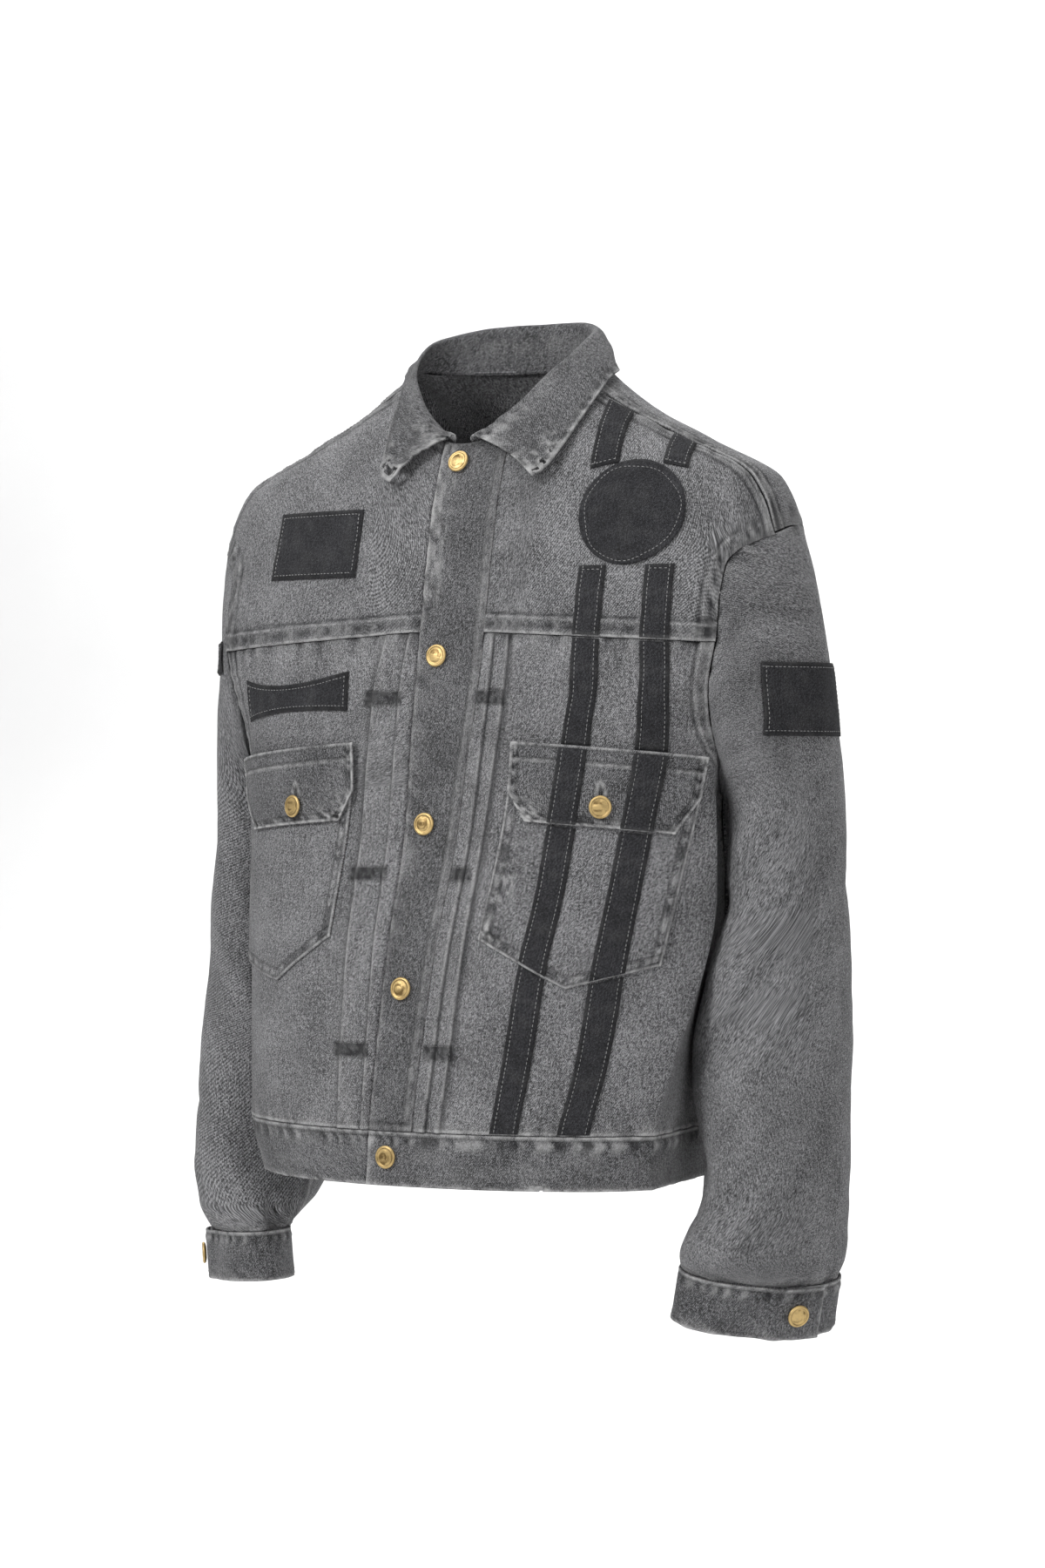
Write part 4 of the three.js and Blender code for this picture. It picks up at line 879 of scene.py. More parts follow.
def collar(rows=46, half_columns=150):
    table = np.array(COLLAR, float)
    inward = 1 - COLLAR_INSET / np.hypot(table[:, 0], table[:, 1])
    seam_z = shoulder_z(table[:, 0], table[:, 1]) + np.where(table[:, 1] < -45, 1.4, 0.6)
    seam_z -= 1.0 * smooth(table[:, 1] / 12)
    seam = np.stack([table[:, 0] * inward, table[:, 1] * inward, seam_z], -1)
    every = np.concatenate([seam, table[:, 2:]], 1)
    places = np.linspace(0, len(table) - 1, half_columns)
    half = spline_rows(every, places)
    right = half[:-1].copy()
    right[:, [0, 3, 6]] *= -1
    right[:, 6] += spline_rows(RIGHT_PULL, places[:-1])
    above = right[:, 8] - shoulder_z(right[:, 6], right[:, 7]) - COLLAR_CLEARANCE
    right[:, 8] += 0.5 * (np.sqrt(above ** 2 + 4.0) - above)
    stations = np.concatenate([half, right[::-1]])
    profile = np.stack(collar_profile(stations[:, :3], stations[:, 3:6], stations[:, 6:]))
    return spline_rows(profile, np.linspace(0, len(profile) - 1, rows))


# Places (x, z) on the front

def across_front(in_x, out_x, in_z, out_z, count):
    t = close_ends(count, 0.6)
    z = lerp(in_z, out_z, t)
    a, b = angle_at_x(np.float64(in_x), in_z), angle_at_x(np.float64(out_x), out_z)
    c = np.cos(lerp(a, b, t))
    return np.stack([np.sign(c) * np.abs(c) ** (2 / power(z)) * half_width(z), z], -1)


def pocket_low_z(x, shape):
    first = lerp(POCKET_IN_Z, POCKET_TIP_Z, (x - shape["inLow"]) / (shape["tip"] - shape["inLow"]))
    second = lerp(POCKET_TIP_Z, shape["outZ"], (x - shape["tip"]) / (shape["outLow"] - shape["tip"]))
    return np.where(x < shape["tip"], first, second)


def pocket_rows(shape, rows=84, columns=84):
    places = []
    for t in close_ends(rows):
        level = lerp(POCKET_TOP, POCKET_LOW, t)
        line = across_front(lerp(shape["inTop"], shape["inLow"], t),
                            lerp(shape["outTop"], shape["outLow"], t), level, level, columns)
        low_x = across_front(shape["inLow"], shape["outLow"], POCKET_LOW, POCKET_LOW, columns)[:, 0]
        line[:, 1] = lerp(POCKET_TOP, pocket_low_z(low_x, shape), t)
        places.append(line)
    return np.array(places)


def flap_rows(side, rows=46, columns=92):
    table = np.array(FLAP if side > 0 else FLAP[:3] + [RIGHT_FLAP_LOW], float)
    places = []
    for r in 3 * close_ends(rows):
        in_x, out_x, in_z, out_z = [np.interp(r, range(4), table[:, k]) for k in range(4)]
        places.append(across_front(in_x, out_x, in_z, out_z, columns))
    return np.array(places)


strip_middle = {"a": curve(STRIPS, "a"), "b": curve(STRIPS, "b")}


def strip_rows(name, top_at, low_at, columns=12):
    about_top, about_low = top_at(120.0), low_at(120.0)
    count = max(int((about_top - about_low) / 2.4), 6)
    offset = np.linspace(-0.5, 0.5, columns)[None] * STRIP_WIDTH
    t = np.linspace(0, 1, count)[:, None]
    x = strip_middle[name](lerp(about_top, about_low, t)) + offset
    z = lerp(top_at(x), low_at(x), t)
    return np.stack([strip_middle[name](z) + offset, z], -1)


def on_front(places, side=1):
    """The front's surface at places whose x is outward on its own side."""
    if side < 0:
        places = (places * [-1, 1])[:, ::-1]
    return front_point(places[..., 0], places[..., 1])


def disc_places(x, z, radius, count=40):
    u, v = np.meshgrid(np.linspace(-1, 1, count), np.linspace(1, -1, count))
    return np.stack([x + radius * u * np.sqrt(1 - v * v / 2),
                     z + radius * v * np.sqrt(1 - u * u / 2)], -1)


# Materials

class Nodes:
    def __init__(self, name):
        self.material = bpy.data.materials.new(name)
        self.material.use_nodes = True
        self.tree = self.material.node_tree
        self.tree.nodes.clear()

    def add(self, kind, inputs=None, **settings):
        node = self.tree.nodes.new(kind)
        for key, value in settings.items():
            setattr(node, key, value)
        for key, value in (inputs or {}).items():
            if isinstance(value, bpy.types.NodeSocket):
                self.tree.links.new(value, node.inputs[key])
            else:
                node.inputs[key].default_value = value
        return node

    def math(self, operation, a, b=0.0, clamp=False):
        return self.add("ShaderNodeMath", {0: a, 1: b}, operation=operation, use_clamp=clamp).outputs[0]

    def attribute(self, name):
        return self.add("ShaderNodeAttribute", attribute_name=name).outputs["Fac"]

    def ramp(self, factor, stops):
        node = self.add("ShaderNodeValToRGB", {"Fac": factor})
        elements = node.color_ramp.elements
        while len(elements) < len(stops):
            elements.new(0.5)
        for element, (place, colour) in zip(elements, stops):
            element.position = place
            element.color = (*colour, 1)
        return node.outputs["Color"]

    def mix(self, factor, a, b):
        return self.add("ShaderNodeMix", {0: factor, 6: a, 7: b}, data_type="RGBA").outputs[2]

    def finish(self, shader):
        out = self.add("ShaderNodeOutputMaterial", {"Surface": shader.outputs[0]})
        return self.material


def grey(level, cool=0.0):
    """A colour from its usual 0 to 255 level, with a little more blue."""
    linear = lambda v: ((v / 255 + 0.055) / 1.055) ** 2.4
    return (linear(level), linear(level), linear(level + cool))


def woven(name, dark, base, light, worn, deep, twill_size=1.25, contrast=1.0, bump=0.5, sheen=0.08):
    """Twill cloth in its own flat sizes: one unit of the layout is 100 mm."""
    n = Nodes(name)
    layout = n.add("ShaderNodeUVMap", uv_map="cloth").outputs["UV"]
    lean = n.add("ShaderNodeMapping", {"Vector": layout, "Rotation": (0, 0, math.radians(28))})
    lean = lean.outputs["Vector"]
    twill = n.add("ShaderNodeTexWave", {"Vector": lean, "Scale": 31.4 / twill_size, "Distortion": 1.6,
                                        "Detail": 2.0, "Detail Scale": 1.4, "Detail Roughness": 0.6},
                  bands_direction="X").outputs["Fac"]
    stretch = n.add("ShaderNodeMapping", {"Vector": lean, "Scale": (1.0, 0.5, 1.0)}).outputs["Vector"]
    fleck = n.add("ShaderNodeTexNoise", {"Vector": stretch, "Scale": 92.0, "Detail": 3.0,
                                         "Roughness": 0.75}).outputs["Fac"]
    tuft = n.add("ShaderNodeTexNoise", {"Vector": stretch, "Scale": 38.0, "Detail": 2.0,
                                        "Roughness": 0.6}).outputs["Fac"]
    upright = n.add("ShaderNodeMapping", {"Vector": layout, "Scale": (1.0, 0.12, 1.0)}).outputs["Vector"]
    slub = n.add("ShaderNodeTexNoise", {"Vector": upright, "Scale": 70.0, "Detail": 2.0}).outputs["Fac"]
    grain = n.add("ShaderNodeTexNoise", {"Vector": layout, "Scale": 120.0, "Detail": 1.0}).outputs["Fac"]
    cloud = n.add("ShaderNodeTexNoise", {"Vector": layout, "Scale": 2.1, "Detail": 4.0}).outputs["Fac"]
    total = n.math("MULTIPLY", n.math("SUBTRACT", twill, 0.5), 0.42 * contrast)
    for value, size in ((fleck, 3.0), (tuft, 0.8), (slub, 0.7), (grain, 2.0), (cloud, 0.7)):
        part = n.math("MULTIPLY", n.math("SUBTRACT", value, 0.5), size * contrast)
        total = n.math("ADD", total, part)
    level = n.math("ADD", total, 0.5, clamp=True)
    colour = n.ramp(level, [(0.0, dark), (0.5, base), (1.0, light)])
    wear, shade = n.attribute("wear"), n.attribute("shade")
    rough_wear = n.math("MULTIPLY", wear, n.math("ADD", n.math("MULTIPLY", fleck, 1.5), 0.2), clamp=True)
    # Painted shade: the shade attribute mixes in the deep colour for grooves, seam troughs and the cloth
    # under lapped edges; some marks use it for the cloth's own darker tone too.
    colour = n.mix(n.math("MULTIPLY", shade, 1.0, clamp=True), colour, (*deep, 1))
    colour = n.mix(rough_wear, colour, (*worn, 1))
    height = n.math("ADD", n.math("MULTIPLY", twill, 0.5), n.math("MULTIPLY", fleck, 0.7))
    height = n.math("ADD", height, n.math("MULTIPLY", grain, 0.4))
    normal = n.add("ShaderNodeBump", {"Strength": bump, "Distance": 0.0006, "Height": height})
    shader = n.add("ShaderNodeBsdfPrincipled", {"Base Color": colour, "Roughness": 0.93,
                                                "Normal": normal.outputs[0]})
    shader.inputs["Sheen Weight"].default_value = sheen
    shader.inputs["Sheen Roughness"].default_value = 0.6
    shader.inputs["Specular IOR Level"].default_value = 0.25
    return n.finish(shader)


def thread_material(name, low, high):
    n = Nodes(name)
    place = n.add("ShaderNodeNewGeometry").outputs["Position"]
    twist = n.add("ShaderNodeTexNoise", {"Vector": place, "Scale": 700.0, "Detail": 2.0}).outputs["Fac"]
    slow = n.add("ShaderNodeTexNoise", {"Vector": place, "Scale": 60.0, "Detail": 2.0}).outputs["Fac"]
    both = n.math("ADD", n.math("MULTIPLY", twist, 0.5), n.math("MULTIPLY", slow, 0.5))
    colour = n.ramp(both, [(0.3, low), (0.7, high)])
    bump = n.add("ShaderNodeBump", {"Strength": 0.4, "Distance": 0.0002, "Height": twist})
    shader = n.add("ShaderNodeBsdfPrincipled", {"Base Color": colour, "Roughness": 0.8,
                                                "Normal": bump.outputs[0]})
    return n.finish(shader)


def brass_material(name, bright, dull, rough):
    n = Nodes(name)
    place = n.add("ShaderNodeNewGeometry").outputs["Position"]
    pits = n.add("ShaderNodeTexNoise", {"Vector": place, "Scale": 900.0, "Detail": 3.0}).outputs["Fac"]
    smear = n.add("ShaderNodeTexNoise", {"Vector": place, "Scale": 170.0, "Detail": 3.0}).outputs["Fac"]
    deep = n.attribute("deep")
    level = n.math("ADD", n.math("MULTIPLY", smear, 0.8), n.math("MULTIPLY", pits, 0.35))
    colour = n.ramp(n.math("SUBTRACT", level, n.math("MULTIPLY", deep, 0.7)),
                    [(0.1, dull), (0.62, bright)])
    finish = n.math("ADD", n.math("MULTIPLY", smear, 0.35), rough, clamp=True)
    bump = n.add("ShaderNodeBump", {"Strength": 0.5, "Distance": 0.0002, "Height": pits})
    shader = n.add("ShaderNodeBsdfPrincipled", {"Base Color": colour, "Roughness": finish,
                                                "Metallic": 0.85, "Normal": bump.outputs[0]})
    return n.finish(shader)


DENIM = woven("washed_denim", grey(42), grey(95, 2), grey(154, 2), grey(164), grey(34, 2))
TRIM = woven("trim_denim", grey(34), grey(73, 2), grey(132, 2), grey(166), grey(26, 2))
PATCH = woven("patch_denim", grey(20), grey(37, 3), grey(62, 3), grey(92), grey(18),
              twill_size=0.9, contrast=0.9, bump=0.35, sheen=0.02)
SEAM_THREAD = thread_material("seam_thread", grey(60), grey(118))
PATCH_THREAD = thread_material("patch_thread", grey(112), grey(160))
BRASS = brass_material("brass", (0.62, 0.45, 0.2), (0.2, 0.13, 0.05), 0.28)


# Pieces

CLOTH_PIECES = {}


def dress(item, material, slot, *nodes):
    item.data.materials.append(material)
    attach(item, "root")
    if nodes:
        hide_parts(*nodes)
    return item


def cloth_piece(cloth, wall, material, slot, nodes, keep=None):
    item = dress(sew(cloth, wall, keep), material, slot, *nodes)
    item.name = cloth.name + "_cloth"
    CLOTH_PIECES[cloth.name] = (cloth, item)
    return item


def edge_wear(cloth, away, reach, amount):
    ragged = 0.6 + 0.55 * noise(cloth.u / 5, cloth.down / 5, cloth.seed + 3)
    cloth.wear += amount * np.exp(-away / reach) * ragged


def box_mark(cloth, x0, x1, z0, z1):
    """The pressed and faded ground of a small stitched box, in the front's own places."""
    x, z = cloth.grid[..., 0], cloth.grid[..., 2]
    inside = np.minimum(np.minimum(x - x0, x1 - x), np.minimum(z - z0, z1 - z))
    cloth.lift += 0.7 * smooth((inside + 1.2) / 1.8)
    cloth.shade += 1.1 * smooth((inside + 1.5) / 1.5) * (0.8 + 0.4 * noise(x / 3, z / 3, 4))
    cloth.wear *= 1 - 0.8 * smooth((inside + 1.5) / 1.5)
    cloth.wear += 0.2 * np.clip(noise(x / 2.4, z / 2.4, 6), 0, 1) * (inside > 0)


def gathered_low_edge(cloth, reach):
    """Where a front or the back is gathered into the waistband."""
    cloth.pucker(cloth.low, cloth.u, reach, 0.8, 0.5, pitch=5.0)
    cloth.ridge(cloth.low, cloth.u, 1.2, 1.3, 0.5, 0.7)


BOXES = [(34, 58, -264, -254), (-62, -29, -264, -254), (22, 40, -395, -385),
         (-67, -33, -395, -385), (13, 35, -525, -515), (-67, -36, -525, -515)]


def body_slack(cloth, size=1.0):
    """Unevenness that a front shares with all that lies on it."""
    x, z = cloth.grid[..., 0], cloth.grid[..., 2]
    cloth.lift += size * 0.9 * uneven(x, z, FRONT_SEED)


for name, side in SIDES:
    grid, fold_columns = front(side)
    piece = Cloth("front_" + name, grid, seed=11 + side)
    outer_edge = piece.right if side > 0 else piece.left
    body_slack(piece)
    piece.pucker(piece.top, piece.u, 30, 0.9, 0.35, pitch=6.5)
    # Painted shadow under the front yoke's lapped edge.
    piece.shade += 0.5 * np.exp(-piece.top / 2.2)
    gathered_low_edge(piece, 15)
    armhole_part = smooth((-322 - piece.grid[..., 2]) / -14)
    for column in fold_columns:
        away = np.abs(piece.u - piece.u[:, column:column + 1])
        ragged = 0.55 + 0.6 * noise(piece.down / 9, away / 4, 3)
        piece.wear += 0.6 * bell(away, 1.3) * ragged
        outward = (piece.u - piece.u[:, column:column + 1]) * side
        # Painted shadow beside each pleat's fold edge.
        piece.shade += 0.8 * bell(outward - 2.2, 1.5)
    lane = np.abs(piece.grid[..., 0] - closure_line(piece.grid[..., 2]) - side * PLEAT_LANE)
    piece.wear += 0.12 * bell(lane, 26) * (0.6 + 0.7 * noise(piece.u / 6, piece.down / 40, 8))
    for box in BOXES:
        if (box[0] > 0) == (side > 0):
            box_mark(piece, *box)
    fell_edge = outer_edge + 60 * (1 - armhole_part)
    piece.fell(fell_edge, piece.down, 10, wear=0.55)
    edge_wear(piece, outer_edge, 1.5, 0.3)
    cloth_piece(piece, CLOTH, DENIM, "denim", ["front_" + name])
    seam_along_row(piece, "body", piece.low, 3.4)

    piece = Cloth("front_yoke_" + name, front_yoke(side), seed=14 + side)
    outer_edge = piece.right if side > 0 else piece.left
    body_slack(piece)
    piece.fell(piece.low, piece.u, 13, height=1.0, wear=0.6)
    piece.fell(outer_edge, piece.down, 11, height=0.8, wear=0.75)
    piece.fell(piece.top, piece.u, 6, height=0.5, wear=0.6)
    edge_wear(piece, piece.low, 1.4, 0.6)
    cloth_piece(piece, CLOTH, DENIM, "denim", ["front_yoke_" + name])
    for at in (2.6, 10.6):
        seam_along_row(piece, "body", piece.low, at)
    for at in (2.4, 9.0):
        seam_along_column(piece, "body", outer_edge, at)

piece = Cloth("back_yoke", back_yoke(), seed=5)
piece.slack(0.9)
piece.lift *= smooth(piece.low / 16)
piece.fell(piece.low, piece.u, 12, height=0.9, wear=0.8)
piece.fell(piece.left, piece.down, 11, wear=0.7)
piece.fell(piece.right, piece.down, 11, wear=0.7)
piece.fell(piece.top + 40 * (np.abs(piece.grid[..., 0]) < 84), piece.u, 8, height=0.7, wear=0.9)
cloth_piece(piece, CLOTH, DENIM, "denim", ["back_yoke"])
sew_edges(piece, "body", ["low"], (2.6, 9.8))
sew_edges(piece, "body", ["left", "right"], (2.4, 9.0))
for start, end in ((0, 0.3), (0.7, 1)):
    sew_edges(piece, "body", ["top"], (2.0, 6.6), start=start, end=end)

piece = Cloth("back", back(), seed=8)
piece.slack(1.1)
piece.pucker(piece.top, piece.u, 26, 0.8, 0.3, pitch=6.5)
piece.lift = piece.lift * smooth(piece.top / 9) + 0.9 * np.exp(-piece.top / 3)
# Painted shadow under the back yoke's lapped edge.
piece.shade += 0.45 * np.exp(-piece.top / 2.2)
gathered_low_edge(piece, 16)
for edge in (piece.left, piece.right):
    piece.fell(edge, piece.down, 10, wear=0.55)
cloth_piece(piece, CLOTH, DENIM, "denim", ["back"])
sew_edges(piece, "body", ["low"], [3.4])
sew_edges(piece, "body", ["left", "right"], (2.4, 8.4))

piece = Cloth("placket", placket(), seed=6)
body_slack(piece, 0.8)
piece.lift += 0.7
ragged = np.clip(0.5 + 0.9 * noise(piece.down / 6, piece.u / 3, 2), 0, 1)
upper = smooth((piece.grid[..., 2] + 215) / 60)
piece.wear += bell(piece.left, 2.2) * (0.45 + 0.6 * upper) * ragged
piece.wear += 0.55 * bell(piece.left - 9, 7) * upper * ragged ** 2
piece.pucker(piece.left, piece.down, 20, 0.7, 0.3, pitch=8, lean=-0.4)
piece.groove(piece.right, 8.0, 0.9, 0.35, 0.5)
piece.ridge(piece.right, piece.down, 5.2, 2.2, 0.35, 0.3, pitch=4)
piece.wear += 0.4 * bell(piece.right, 1.3) * ragged
piece.pucker(piece.right, piece.down, 14, 0.5, 0.2, pitch=5)
piece.fell(piece.low, piece.u, 3, height=0.2, wear=0.5)
# Painted shadow under the collar.
piece.shade += 0.4 * bell(piece.top - 4, 4)
cloth_piece(piece, CLOTH, TRIM, "denim", ["placket"])
seam_along_column(piece, "body", piece.right, 8.0)
seam_along_column(piece, "body", piece.left, 12.5, start=0.3)

piece = Cloth("waistband", waistband(), seed=7)
piece.slack(0.6)
piece.lift += 0.4
piece.ridge(piece.top, piece.u, 1.0, 1.2, 0.5, 0.95, ripple=0.5)
piece.groove(piece.top, 3.6, 1.1, 0.4, 0.45)
piece.pucker(np.abs(piece.top - 7), piece.u, 9, 1.0, 0.8, pitch=4.2, lean=0.7)
piece.ridge(piece.low, piece.u, 0.8, 1.2, 0.2, 0.7, ripple=1.2)
piece.pucker(piece.low, piece.u, 10, 0.8, 0.35, pitch=9, lean=0.9)
piece.wear += 0.14 * np.clip(noise(piece.u / 16, piece.down / 9, 5), 0, 1)
edge_wear(piece, piece.left, 1.6, 0.7)
nick = np.hypot(piece.grid[..., 0] - 104, (piece.low - 1) * 1.6)
nick = np.where(piece.grid[..., 1] < 0, nick, 99)
piece.wear += 0.9 * bell(nick - 5, 3.0) * np.clip(0.6 + noise(piece.u / 2, piece.down / 2, 3), 0, 1)
piece.shade += 0.8 * bell(nick, 3.2)
cells = nick[:-1, :-1] > 1.9
cloth_piece(piece, 2.2, TRIM, "denim", ["waistband"], keep=cells)
seam_along_row(piece, "body", piece.top, 3.0, end=0.955)
seam_along_row(piece, "body", piece.low, 5.0, end=0.955)

for name, side in SIDES:
    grid, share = sleeve(side)
    piece = Cloth("sleeve_" + name, grid, closed=True, seed=3 + side)
    ring = share[None] * SLEEVE_ROUND
    piece.slack(1.0)
    piece.pucker(piece.top, piece.u, 26, 0.9, 0.3, pitch=7)
    # Painted shadow under the armhole seam.
    piece.shade += 0.4 * np.exp(-piece.top / 2.4)
    piece.pucker(piece.low, piece.u, 20, 1.0, 0.45, pitch=6)
    piece.ridge(piece.low, piece.u, 1.3, 1.3, 0.5, 0.6)
    under = np.abs(share - SHARES[UNDERARM_AT])[None] * SLEEVE_ROUND + 0 * piece.u
    piece.fell(np.abs(under), piece.down, 5, height=0.6, wear=0.5)
    vent = (share[None] - CUFF_OVER_END - 0.02) * SLEEVE_ROUND + 0 * piece.u
    tall = smooth((34 - piece.low) / 8)
    # The vent's slit: sunk, with painted shade in it and wear along its lapped edge.
    piece.lift -= 1.0 * bell(vent, 1.6) * tall
    piece.shade += 0.9 * bell(vent, 1.6) * tall
    piece.wear += 0.7 * bell(vent - 3.6, 1.2) * tall
    cloth_piece(piece, CLOTH, DENIM, "denim", ["sleeve_" + name])
    seam_along_row(piece, "body", piece.low, 3.6)

    grid, turn = cuff(side)
    piece = Cloth("cuff_" + name, grid, seed=9 + side)
    piece.slack(0.5)
    over_end = piece.right if side > 0 else piece.left
    piece.ridge(piece.top, piece.u, 1.0, 1.2, 0.45, 0.9, ripple=0.5)
    piece.groove(piece.top, 3.4, 1.0, 0.35, 0.4)
    piece.pucker(np.abs(piece.top - 6), piece.u, 8, 0.9, 0.8, pitch=4.4, lean=0.7)
    piece.ridge(piece.low, piece.u, 0.8, 1.2, 0.2, 0.7, ripple=1.1)
    piece.pucker(piece.low, piece.u, 14, 0.9, 0.4, pitch=9, lean=1.0)
    edge_wear(piece, over_end, 1.5, 0.8)
    cloth_piece(piece, 2.0, TRIM, "denim", ["cuff_" + name])
    seam_along_row(piece, "body", piece.top, 3.0)
    seam_along_row(piece, "body", piece.low, 4.6)

piece = Cloth("collar", collar(), seed=12)
piece.slack(0.55)
tips = np.minimum(piece.left, piece.right)
ragged = np.clip(0.5 + 1.0 * noise(piece.u / 3.2, piece.down / 3.2, 2), 0, 1)
near_tip = smooth((52 - tips) / 40)
piece.ridge(piece.low, piece.u, 0.9, 1.1, 0.3, 0.8, ripple=1.0)
piece.groove(piece.low, 5.6, 0.9, 0.35, 0.35)
piece.pucker(piece.low, piece.u, 12, 0.8, 0.6, pitch=4.5, lean=0.7)
piece.pucker(tips, piece.down, 26, 1.0, 0.55, pitch=5.5)
fold_wear = bell(piece.down - 22, 9) * (0.25 + 0.5 * near_tip)
piece.wear += 0.7 * fold_wear * ragged + 0.6 * np.exp(-tips / 2.0) * ragged
frayed = near_tip * bell(piece.low - 9, 9) * np.clip(noise(piece.u / 4.4, piece.down / 4.4, 9) * 2, 0, 1)
piece.wear += 0.9 * frayed
piece.shade += 0.6 * near_tip * np.clip(-noise(piece.u / 3.4, piece.down / 3.4, 4) * 1.6, 0, 1)
piece.lift += 1.2 * near_tip * noise(piece.u / 3.6, piece.down / 3.6, 9)
cells = (frayed[:-1, :-1] < 0.78) | (piece.low[:-1, :-1] < 2.2) | (tips[:-1, :-1] < 2.2)
cloth_piece(piece, 1.8, TRIM, "denim", ["collar"], keep=cells)
sew_edges(piece, "body", ["low"], [5.6], start=0.03, end=0.97)
sew_edges(piece, "body", ["left", "right"], [5.6], start=0.45, end=0.86)


# Pockets and flaps

def lie_on_front(name, places, side, out, seed, slack=1.0):
    cloth = Cloth(name, on_front(places, side), seed=seed)
    body_slack(cloth, slack)
    cloth.lift += out
    return cloth


for name, side in SIDES:
    piece = lie_on_front("pocket_" + name, pocket_rows(POCKET[name]), side, POCKET_OUT, 4 + side)
    for edge, run in piece.free_edges():
        piece.ridge(edge, run, 0.9, 1.1, 0.2, 0.85, ripple=0.8)
        piece.groove(edge, 2.6, 0.9, 0.25, 0.6)
        piece.groove(edge, 8.8, 1.0, 0.3, 0.65)
        piece.pucker(np.abs(edge - 5.5), run, 5, 0.6, 0.7, pitch=3.8, lean=0.8)
        piece.lift -= 1.0 * smooth((1.6 - edge) / 1.6)
    if side > 0:
        worn_spot = bell(piece.left - 12, 9) * bell(piece.down - 88, 22)
        worn_spot += bell(piece.left - 10, 12) * bell(piece.low - 9, 8)
        ragged = np.clip(noise(piece.u / 3, piece.down / 3, 7) * 1.8, 0, 1)
        piece.wear += 0.55 * worn_spot * ragged
        piece.shade += 0.4 * worn_spot * (1 - ragged)
    cloth_piece(piece, 1.1, DENIM, "denim", ["pocket_" + name])
    sew_edges(piece, "body", ["left", "right"], (2.4, 8.4), start=0.1)
    sew_edges(piece, "body", ["low"], (2.4, 8.4), start=0.03, end=0.97)

    piece = lie_on_front("flap_" + name, flap_rows(side), side, FLAP_OUT, 6 + side, 0.8)
    for edge, run in piece.free_edges():
        piece.ridge(edge, run, 1.0, 1.2, 0.4, 0.95, ripple=0.9)
        piece.groove(edge, 2.8, 0.9, 0.25, 0.6)
        piece.groove(edge, 6.6, 1.0, 0.3, 0.7)
        piece.pucker(np.abs(edge - 4.0), run, 6, 0.7, 0.6, pitch=3.8, lean=0.8)
    piece.lift += 0.9 * bell(piece.top - 5, 5)
    piece.ridge(piece.top, piece.u, 0.9, 1.0, 0.3, 0.8)
    piece.groove(piece.top, 3.0, 0.8, 0.3, 0.4)
    piece.groove(piece.top, 11.0, 0.9, 0.5, 0.6)
    piece.ridge(piece.top, piece.u, 13.0, 1.2, 0.2, 0.6)
    x, z = piece.grid[..., 0], piece.grid[..., 2]
    # Painted shade in the buttonhole's slit above the button, with a worn ring round it.
    hole = np.hypot((x - side * FLAP_BUTTON[name]) * 3, z - FLAP_BUTTON_Z - 9)
    piece.shade += 0.9 * bell(hole, 7)
    piece.wear += 0.7 * bell(hole - 9, 2)
    corner = bell(piece.left if side > 0 else piece.right, 22) * bell(piece.low - 8, 15)
    piece.wear += 0.9 * corner * np.clip(0.25 + noise(piece.u / 3, piece.down / 3, 5) * 1.3, 0, 1)
    piece.lift += 0.8 * corner * noise(piece.u / 4, piece.down / 4, 8)
    cloth_piece(piece, 1.3, TRIM, "denim", ["flap_" + name])
    sew_edges(piece, "body", ["top"], (3.0, 11.0), start=0.02, end=0.98)
    sew_edges(piece, "body", ["low"], [6.2], start=0.05, end=0.95)
    sew_edges(piece, "body", ["left", "right"], [6.2], start=0.35, end=0.85)


# Dark patches, each sewn down with a running stitch just inside its edge

PATCH_WALL = 0.6


def patch_piece(cloth, node, edges=("top", "low", "left", "right"), inset=3.6):
    nearest = np.full(cloth.u.shape, 99.0)
    for edge in edges:
        nearest = np.minimum(nearest, getattr(cloth, edge))
    ragged = noise(cloth.u / 2.2, cloth.down / 2.2, 6)
    cloth.lift += 0.22 * uneven(cloth.u * 3, cloth.down * 3, 9) - 0.45 * smooth((0.9 - nearest) / 0.9)
    cloth.lift -= 0.25 * bell(nearest - inset, 1.0)
    cloth.shade += 0.5 * smooth((inset + 0.6 - nearest) / 1.6) * (0.8 + 0.3 * ragged)
    cloth.wear += 0.2 * bell(nearest, 0.6) * np.clip(0.3 + ragged, 0, 1)
    long_way = cloth.down if cloth.down.max() > cloth.u.max() else cloth.u
    short_way = cloth.u if cloth.down.max() > cloth.u.max() else cloth.down
    ripple = noise(long_way / 7, short_way / 12, 5)
    cloth.lift += 0.3 * ripple
    cloth.wear += 0.16 * np.clip(ripple, 0, 1)
    item = cloth_piece(cloth, PATCH_WALL, PATCH, "patch", [node])
    for edge in edges:
        away = getattr(cloth, edge)
        if edge in ("top", "low"):
            share = (inset - 1) / max(cloth.u.max(), 1)
            seam_along_row(cloth, "patches", away, inset, share, 1 - share, radius=0.3)
        else:
            share = (inset - 1) / max(cloth.down.max(), 1)
            ends = (share if "top" in edges else 0.0, 1 - share if "low" in edges else 1.0)
            seam_along_column(cloth, "patches", away, inset, *ends, radius=0.3)
    return item


def grid_between(x0, x1, z0, z1, pitch=2.2):
    x = np.linspace(x0, x1, max(int(abs(x1 - x0) / pitch), 4))
    z = np.linspace(z0, z1, max(int(abs(z1 - z0) / pitch), 4))
    return np.stack(np.meshgrid(x, z), -1)


SKIN = 1.7
square = lie_on_front("patch_square", grid_between(-165, -80, -115, -167), 1, SKIN, 2)
patch_piece(square, "patch_square")

